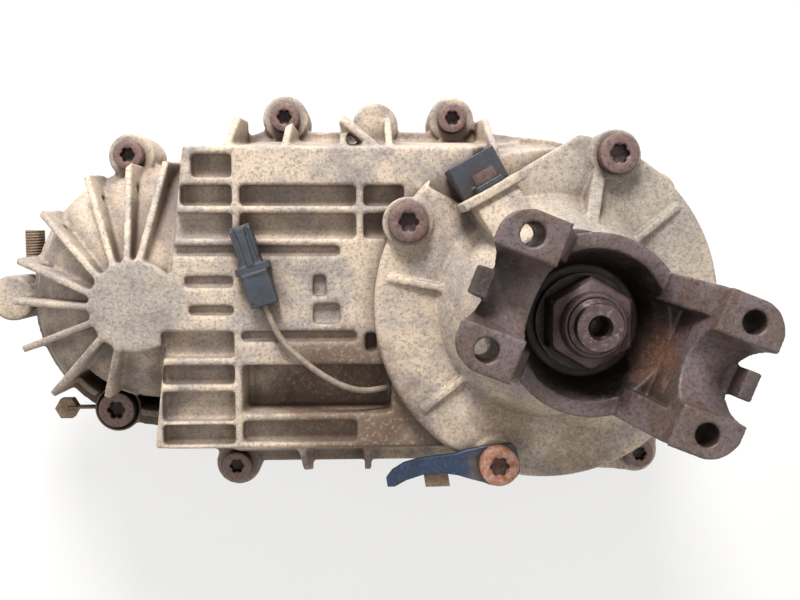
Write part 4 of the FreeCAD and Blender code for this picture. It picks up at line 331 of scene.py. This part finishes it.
def from_points(name, points, faces, smooth=30):
    """A mesh object, smooth up to the given angle in degrees."""
    mesh = bpy.data.meshes.new(name)
    mesh.from_pydata([tuple(p) for p in points], [], faces)
    mesh.update()
    thing = bpy.data.objects.new(name, mesh)
    bpy.context.scene.collection.objects.link(thing)
    mesh.shade_smooth()
    mesh.set_sharp_from_angle(angle=math.radians(smooth))
    return thing


def turned(name, stations, at, sides=96, lean=None):
    """A closed mesh through rings about Z.

    A station is (height, radius), and a radius may be a function of the angle.
    """
    points, faces = [], []
    for height, radius in stations:
        for i in range(sides):
            angle = 2 * math.pi * i / sides
            reach = radius(angle) if callable(radius) else radius
            points.append(Vector((reach * math.cos(angle), reach * math.sin(angle), height)))
    for ring in range(len(stations) - 1):
        for i in range(sides):
            a, b = ring * sides + i, ring * sides + (i + 1) % sides
            faces.append((a, b, b + sides, a + sides))
    last = (len(stations) - 1) * sides
    faces.append(tuple(reversed(range(sides))))
    faces.append(tuple(range(last, last + sides)))
    tilt = lean or Matrix.Identity(3)
    return from_points(name, [Vector(at) + tilt @ p for p in points], faces)


def star(radius, depth):
    """Radius of a six-lobed socket at an angle."""
    return lambda angle: radius * (1 + depth * math.cos(6 * angle))


def hexagon(inner, limit):
    """Radius of a hexagon at an angle, cut off at a limit as a chamfer cuts it."""
    def reach(angle):
        folded = (angle + math.pi / 6) % (math.pi / 3) - math.pi / 6
        return min(inner / math.cos(folded), limit)
    return reach


def islands(node):
    """Lowest and highest corner of each separate solid of a CAD node."""
    mesh = bmesh.new()
    mesh.from_mesh(NODES[node].data)
    bmesh.ops.remove_doubles(mesh, verts=mesh.verts, dist=WELD_GAP)
    found, seen = [], set()
    for vert in mesh.verts:
        if vert in seen:
            continue
        group, waiting = [], [vert]
        seen.add(vert)
        while waiting:
            here = waiting.pop()
            group.append(here.co.copy())
            for edge in here.link_edges:
                other = edge.other_vert(here)
                if other not in seen:
                    seen.add(other)
                    waiting.append(other)
        low = Vector([min(p[i] for p in group) for i in range(3)])
        high = Vector([max(p[i] for p in group) for i in range(3)])
        found.append((low, high))
    mesh.free()
    return found


def bar(name, start, end, width, depth):
    """A slab from start to end with a rounded back, for a rib on a casting."""
    start, end = Vector(start), Vector(end)
    along = (end - start).normalized()
    across = along.cross(Vector((0, 0, 1))).normalized() * width / 2
    points, faces = [], []
    profile = ((-1, -1), (-1, -0.25), (-0.7, 0), (0.7, 0), (1, -0.25), (1, -1))
    for spot in (start, end):
        points += [spot + across * a + Vector((0, 0, depth * b)) for a, b in profile]
    count = len(profile)
    for i in range(count):
        j = (i + 1) % count
        faces.append((i, j, j + count, i + count))
    faces.append(tuple(reversed(range(count))))
    faces.append(tuple(range(count, 2 * count)))
    return from_points(name, points, faces)


def casting(node, body, voxel, passes, extras=(), shape=None):
    """A copy of a CAD casting with rounded edges and fillets.

    Extra lumps are joined to it first, and shape is a function that moves its points.
    """
    thing = NODES[node].copy()
    thing.data = NODES[node].data.copy()
    thing.name = node + "_casting"
    bpy.context.scene.collection.objects.link(thing)
    mesh = bmesh.new()
    mesh.from_mesh(thing.data)
    for extra in extras:
        mesh.from_mesh(extra.data)
        bpy.data.objects.remove(extra)
    bmesh.ops.remove_doubles(mesh, verts=mesh.verts, dist=WELD_GAP)
    mesh.to_mesh(thing.data)
    mesh.free()
    remesh = thing.modifiers.new("Rounded", "REMESH")
    remesh.mode = "VOXEL"
    remesh.voxel_size = voxel
    remesh.use_smooth_shade = True
    if shape:
        bpy.context.view_layer.objects.active = thing
        bpy.ops.object.modifier_apply(modifier="Rounded")
        for vert in thing.data.vertices:
            vert.co = shape(vert.co)
    soften = thing.modifiers.new("Fillets", "SMOOTH")
    soften.factor = 0.5
    soften.iterations = passes
    return dress(thing, body, SLOTS[node], node)


# ---------------------------------------------------------------- castings and yoke

def slab(name, profile, near, far, turn=0.0, at=(0, 0, 0)):
    """A profile in (reach, height) run sideways from near to far, turned about Z."""
    spin = Matrix.Rotation(math.radians(turn), 3, "Z")
    count = len(profile)
    points = [Vector(at) + spin @ Vector((x, y, z)) for y in (near, far) for x, z in profile]
    faces = [(i, (i + 1) % count, (i + 1) % count + count, i + count) for i in range(count)]
    faces += [tuple(reversed(range(count))), tuple(range(count, 2 * count))]
    thing = from_points(name, points, faces)
    mesh = bmesh.new()
    mesh.from_mesh(thing.data)
    bmesh.ops.recalc_face_normals(mesh, faces=mesh.faces)
    mesh.to_mesh(thing.data)
    mesh.free()
    return thing


def yoke_flanks():
    """Webs that join the cup of the yoke to its ears, and the roots of the retaining lugs."""
    web = ((0.022, 0.254), (0.034, 0.262), (0.037, 0.286), (0.037, 0.303), (0.033, 0.303), (0.022, 0.276))
    root = ((0.049, 0.288), (0.0555, 0.2905), (0.0585, 0.296), (0.0585, 0.299), (0.052, 0.296))
    web_inside = 0.020
    web_outside = 0.033
    root_side = 0.006
    lumps = []
    for turn in (YOKE_TURN, YOKE_TURN + 180):
        lumps.append(slab("web", web, web_inside, web_outside, turn))
        lumps.append(slab("web", web, -web_outside, -web_inside, turn))
        lumps.append(slab("root", root, -root_side, root_side, turn))
    return lumps


def round_ear(point):
    """Draws a point of the yoke inside the rounded corners of its ears."""
    spin = Matrix.Rotation(math.radians(YOKE_TURN), 3, "Z")
    local = spin.transposed() @ point
    middle_x = YOKE_REACH - EAR_CORNER
    middle_y = YOKE_SIDE - EAR_CORNER
    x, y = abs(local.x) - middle_x, abs(local.y) - middle_y
    reach = math.hypot(x, y)
    if x > 0 and y > 0 and reach > EAR_CORNER:
        shrink = EAR_CORNER / reach
        local.x = math.copysign(middle_x + x * shrink, local.x)
        local.y = math.copysign(middle_y + y * shrink, local.y)
    return spin @ local


def fan_skirt():
    """Slope between the fan ribs, from the round pad down to the rim, clear of the corner bolt."""
    bolt_side = (3.9, 5.4)  # angles in radians between which the corner bolt stands
    bolt_limit = 0.057

    def edge(radius):
        return lambda angle: min(radius, bolt_limit) if bolt_side[0] < angle < bolt_side[1] else radius

    stations = ((0.1000, 0.0805), (0.1090, 0.0805), (0.1280, 0.0715), (0.1660, 0.0260), (0.1700, 0.0220))
    return turned("skirt", [(height, edge(radius)) for height, radius in stations], (FRONT_X, 0, 0))


def make_castings():
    """The two case halves, the retainer and the yoke."""
    rib_low = (-0.111, 0.103, 0.164)
    rib_high = (-0.064, 0.061, 0.1802)
    diagonal = bar("diagonal_rib", rib_low, rib_high, 6 * MM, 12 * MM)
    boss_stations = ((0.105, 0.0048), (0.131, 0.0042), (0.132, 0.0034))
    low_boss = turned("low_boss", boss_stations, (-0.2335, -0.0440, 0))
    casting("rear_case", "case", 1.1 * MM, 4, [diagonal, low_boss, fan_skirt()])
    casting("front_case", "case", 1.4 * MM, 3)
    casting("rear_retainer", "case", 0.9 * MM, 4)
    casting("rear_yoke", "rear_output", 0.7 * MM, 5, yoke_flanks(), round_ear)


# ---------------------------------------------------------------- fasteners

def star_bolt(name, low, high, head_height, shank):
    """A round-headed bolt with a six-lobed socket, in the place of a CAD bolt.

    The shank is a share of the head's radius.
    """
    centre = (low + high) / 2
    radius = (high.x - low.x) / 2
    top = high.z
    seat = top - head_height
    edge = radius * 0.10
    socket = radius * 0.46
    lobes = 0.13
    deep = head_height * 0.62
    stations = (
        (low.z, radius * shank * 0.9),
        (low.z + 1 * MM, radius * shank),
        (seat, radius * shank),
        (seat, radius * 0.98),
        (seat + 0.4 * MM, radius),
        (top - edge, radius),
        (top - edge * 0.3, radius - edge * 0.3),
        (top, radius - edge),
        (top, socket * 1.22),
        (top - 0.5 * MM, star(socket * 1.04, 0.05)),
        (top - 1.0 * MM, star(socket, lobes)),
        (top - deep, star(socket * 0.97, lobes)),
        (top - deep - 0.8 * MM, socket * 0.4),
    )
    return turned(name, stations, (centre.x, centre.y, 0))


def make_bolts():
    """Case and retainer bolts, each with its own wear."""
    corner = max(islands("case_bolts"), key=lambda pair: pair[1].x - pair[0].x)
    for i, (low, high) in enumerate(islands("case_bolts")):
        is_corner = (low - corner[0]).length < WELD_GAP
        head = CORNER_HEAD if is_corner else CASE_HEAD
        bolt = star_bolt(f"case_bolt_{i + 1}", low, high, head, shank=0.40)
        stands_for = ["case_bolts"] if i == 0 else []
        dress(bolt, "case", "bolt_steel", *stands_for)
    lowest = min(islands("retainer_bolts"), key=lambda pair: pair[0].y)
    for i, (low, high) in enumerate(islands("retainer_bolts")):
        bolt = star_bolt(f"retainer_bolt_{i + 1}", low, high, RETAINER_HEAD, shank=0.46)
        is_lowest = (low - lowest[0]).length < WELD_GAP
        stands_for = ["retainer_bolts"] if i == 0 else []
        dress(bolt, "case", "bolt_steel", *stands_for, finish="rust" if is_lowest else None)


def nut(name, node, body, bore, upright):
    """A chamfered hexagon nut with a round locking collar, which is on top where the nut is upright."""
    low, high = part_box(node)
    centre = (low + high) / 2
    flats = (high.y - low.y) / 2
    corner = (high.x - low.x) / 2
    collar = bore + 2 * MM
    tall = high.z - low.z
    shoulder = tall * (0.74 if tall > TALL_NUT else 0.86)
    stations = [
        (0, hexagon(flats, flats * 1.02)),
        (1.2 * MM, hexagon(flats, corner)),
        (shoulder - 3.4 * MM, hexagon(flats, corner)),
        (shoulder - 1.0 * MM, hexagon(flats * 0.94, corner * 0.90)),
        (shoulder, hexagon(flats * 0.84, flats * 0.86)),
        (shoulder + 0.4 * MM, collar + 0.6 * MM),
        (tall - 1 * MM, collar),
        (tall, collar - 0.8 * MM),
        (tall, bore + 0.2 * MM),
        (0.1 * MM, bore + 0.1 * MM),
    ]
    if not upright:
        stations = [(tall - height, radius) for height, radius in reversed(stations)]
    thing = turned(name, stations, (centre.x, centre.y, low.z))
    return dress(thing, body, SLOTS[node], node, finish="dark_steel")


def make_bracket():
    """Bent steel strap that narrows to a hook, with a tab below it."""
    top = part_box("wire_bracket")[1].z
    bolt = min(islands("retainer_bolts"), key=lambda pair: pair[0].y)
    at = Vector(((bolt[0].x + bolt[1].x) / 2, (bolt[0].y + bolt[1].y) / 2, 0))
    turn = Matrix.Rotation(math.radians(BRACKET_TURN), 3, "Z")
    # Each section across the strap: its place along it, its two sides and its height from the top.
    sections = (
        (0.0115, -0.0060, 0.0060, 0),
        (0.0090, -0.0095, 0.0095, 0),
        (-0.0060, -0.0105, 0.0105, 0),
        (-0.0160, -0.0060, 0.0100, 0),
        (-0.0220, -0.0030, 0.0090, 0),
        (-0.0300, -0.0015, 0.0085, -0.0035),
        (-0.0400, -0.0020, 0.0075, -0.0080),
        (-0.0500, -0.0050, 0.0050, -0.0125),
        (-0.0570, -0.0085, 0.0010, -0.0157),
        (-0.0610, -0.0085, -0.0035, -0.0175),
    )
    points = [
        at + turn @ Vector((x, y, top + rise - depth))
        for x, first, second, rise in sections
        for y, depth in ((first, 0), (second, 0), (second, BRACKET_SHEET), (first, BRACKET_SHEET))
    ]
    faces = [(0, 1, 2, 3), tuple(4 * (len(sections) - 1) + i for i in (3, 2, 1, 0))]
    for i in range(len(sections) - 1):
        for j in range(4):
            k = (j + 1) % 4
            faces.append((4 * i + k, 4 * i + j, 4 * i + 4 + j, 4 * i + 4 + k))
    strap = from_points("bracket_strap", points, faces)
    edge = strap.modifiers.new("Edges", "BEVEL")
    edge.width = 0.5 * MM
    edge.segments = 2
    dress(strap, "case", "machined_steel", "wire_bracket", finish="blue_steel")
    tab = (
        (-0.0400, top - 0.0115),
        (-0.0270, top - 0.0060),
        (-0.0270, top - 0.0090),
        (-0.0400, top - 0.0150),
    )
    leaf = slab("bracket_tab", tab, -0.0100, -0.0005, BRACKET_TURN, at)
    dress(leaf, "case", "machined_steel", finish="brown_steel")


# ---------------------------------------------------------------- loom

def connector_ribs():
    """Keeper ribs and grip lines on the two halves of the connector."""
    end, before = Vector(WIRE_ROUTE[-1]), Vector(WIRE_ROUTE[-2])
    turn = math.degrees(math.atan2(end.y - before.y, end.x - before.x))
    at = (end.x, end.y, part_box("wire_connector")[0].z)
    # Each rib in millimetres: from and to along the connector, its two sides, and its foot and top.
    places = (
        (2.5, 16.0, -5.6, -4.6, 8.6, 9.4),
        (2.5, 16.0, 4.6, 5.6, 8.6, 9.4),
        (16.6, 18.0, -7.0, 7.0, 8.6, 9.4),
        (26.0, 42.0, -5.4, -4.4, 7.6, 8.6),
        (26.0, 42.0, 4.4, 5.4, 7.6, 8.6),
        (39.0, 43.0, -2.6, 2.6, 7.6, 9.2),
    )
    ribs = []
    for first, last, near, far, low, high in places:
        profile = [(x * MM, z * MM) for x, z in ((first, low), (last, low), (last, high), (first, high))]
        ribs.append(slab("rib", profile, near * MM, far * MM, turn, at))
    return ribs


def make_stud():
    """Threaded locating stud between its lugs."""
    rings = 96
    sides = 64
    low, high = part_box("locating_stud")
    middle = (low + high) / 2
    along_y = Matrix.Rotation(math.radians(-90), 3, "X")
    long = high.y - low.y
    radius = (high.x - low.x) / 2
    heights = [long * i / rings for i in range(rings + 1)]
    stations = [(height, thread(radius, height)) for height in heights]
    stud = turned("locating_stud_thread", stations, (middle.x, low.y, middle.z), sides, along_y)
    dress(stud, "case", "machined_steel", "locating_stud", finish="brown_steel")


def thread(radius, height):
    """Radius of a screw thread at a height, as a function of the angle."""
    def reach(angle):
        turn = (height / THREAD_PITCH - angle / (2 * math.pi)) % 1
        return radius - THREAD_DEPTH * abs(2 * turn - 1)
    return reach


def make_wire():
    """The clutch wire, from its grommet to the connector."""
    curve = bpy.data.curves.new("clutch_wire_jacket", "CURVE")
    curve.dimensions = "3D"
    curve.bevel_depth = WIRE_DIAMETER / 2
    curve.bevel_resolution = 5
    curve.resolution_u = 16
    spline = curve.splines.new("NURBS")
    spline.points.add(len(WIRE_ROUTE) - 1)
    for point, spot in zip(spline.points, WIRE_ROUTE):
        point.co = (*spot, 1)
    spline.order_u = 3
    spline.use_endpoint_u = True
    wire = bpy.data.objects.new("clutch_wire_jacket", curve)
    bpy.context.scene.collection.objects.link(wire)
    dress(wire, "case", "wire_jacket", "clutch_wire")
    plug = casting("wire_connector", "case", 0.4 * MM, 2, connector_ribs())


# ---------------------------------------------------------------- scene

def dress_cad():
    """Every CAD node that is still shown gets the surface of its slot."""
    for name, item in NODES.items():
        item.data.materials.clear()
        item.data.materials.append(MATERIALS[SLOTS[name]])
    NODES["corner_clip"].data.materials[0] = MATERIALS["brown_steel"]
    NODES["yoke_washer"].data.materials[0] = MATERIALS["dark_steel"]


def make_stage():
    """Floor, soft light, world and camera."""
    bpy.ops.mesh.primitive_plane_add(size=FLOOR_WIDTH, location=(0, 0, FLOOR_HEIGHT))
    floor = bpy.context.object
    floor.name = "floor"
    floor.data.materials.append(floor_surface("floor"))
    for name, spot, size, power in LAMPS:
        light = bpy.data.lights.new(name, "AREA")
        light.energy = power
        light.size = size
        lamp = bpy.data.objects.new(name, light)
        lamp.location = spot
        aim = Vector(LAMP_AIM) - Vector(spot)
        lamp.rotation_euler = aim.to_track_quat("-Z", "Y").to_euler()
        bpy.context.scene.collection.objects.link(lamp)
    make_world()
    make_camera()


def make_camera():
    """The camera above the rear end."""
    camera = bpy.data.cameras.new("camera")
    camera.lens = CAMERA_LENS
    camera.sensor_width = 36
    viewer = bpy.data.objects.new("camera", camera)
    turn = Matrix.Rotation(math.radians(CAMERA_TURN), 4, "Y")
    tilt = Matrix.Rotation(math.radians(CAMERA_TILT), 4, "X")
    viewer.matrix_world = Matrix.Translation(CAMERA_AT) @ turn @ tilt
    bpy.context.scene.collection.objects.link(viewer)
    bpy.context.scene.camera = viewer
    bpy.context.scene.view_settings.view_transform = "Standard"


def make_world():
    """Even light on the object, and white where the camera, gloss or glass looks past it."""
    world = bpy.data.worlds.new("studio")
    world.use_nodes = True
    bpy.context.scene.world = world
    tree = world.node_tree
    tree.nodes.clear()
    seen = seen_directly(tree)
    sky = tree.nodes.new("ShaderNodeBackground")
    sky.inputs["Color"].default_value = colour("#F4F2EE")
    sky.inputs["Strength"].default_value = SKY_STRENGTH
    white = tree.nodes.new("ShaderNodeBackground")
    white.inputs["Strength"].default_value = 1.0
    white.inputs["Color"].default_value = (1, 1, 1, 1)
    choose = tree.nodes.new("ShaderNodeMixShader")
    out = tree.nodes.new("ShaderNodeOutputWorld")
    tree.links.new(seen, choose.inputs[0])
    tree.links.new(sky.outputs[0], choose.inputs[1])
    tree.links.new(white.outputs[0], choose.inputs[2])
    tree.links.new(choose.outputs[0], out.inputs["Surface"])


dress_cad()
make_castings()
make_bolts()
make_bracket()
make_stud()
casting("speed_sensor", "case", 0.5 * MM, 2)
nut("yoke_nut_hexagon", "yoke_nut", "rear_output", NUT_BORE, True)
nut("front_nut_hexagon", "front_nut", "front_output", NUT_BORE, False)
make_wire()
make_stage()
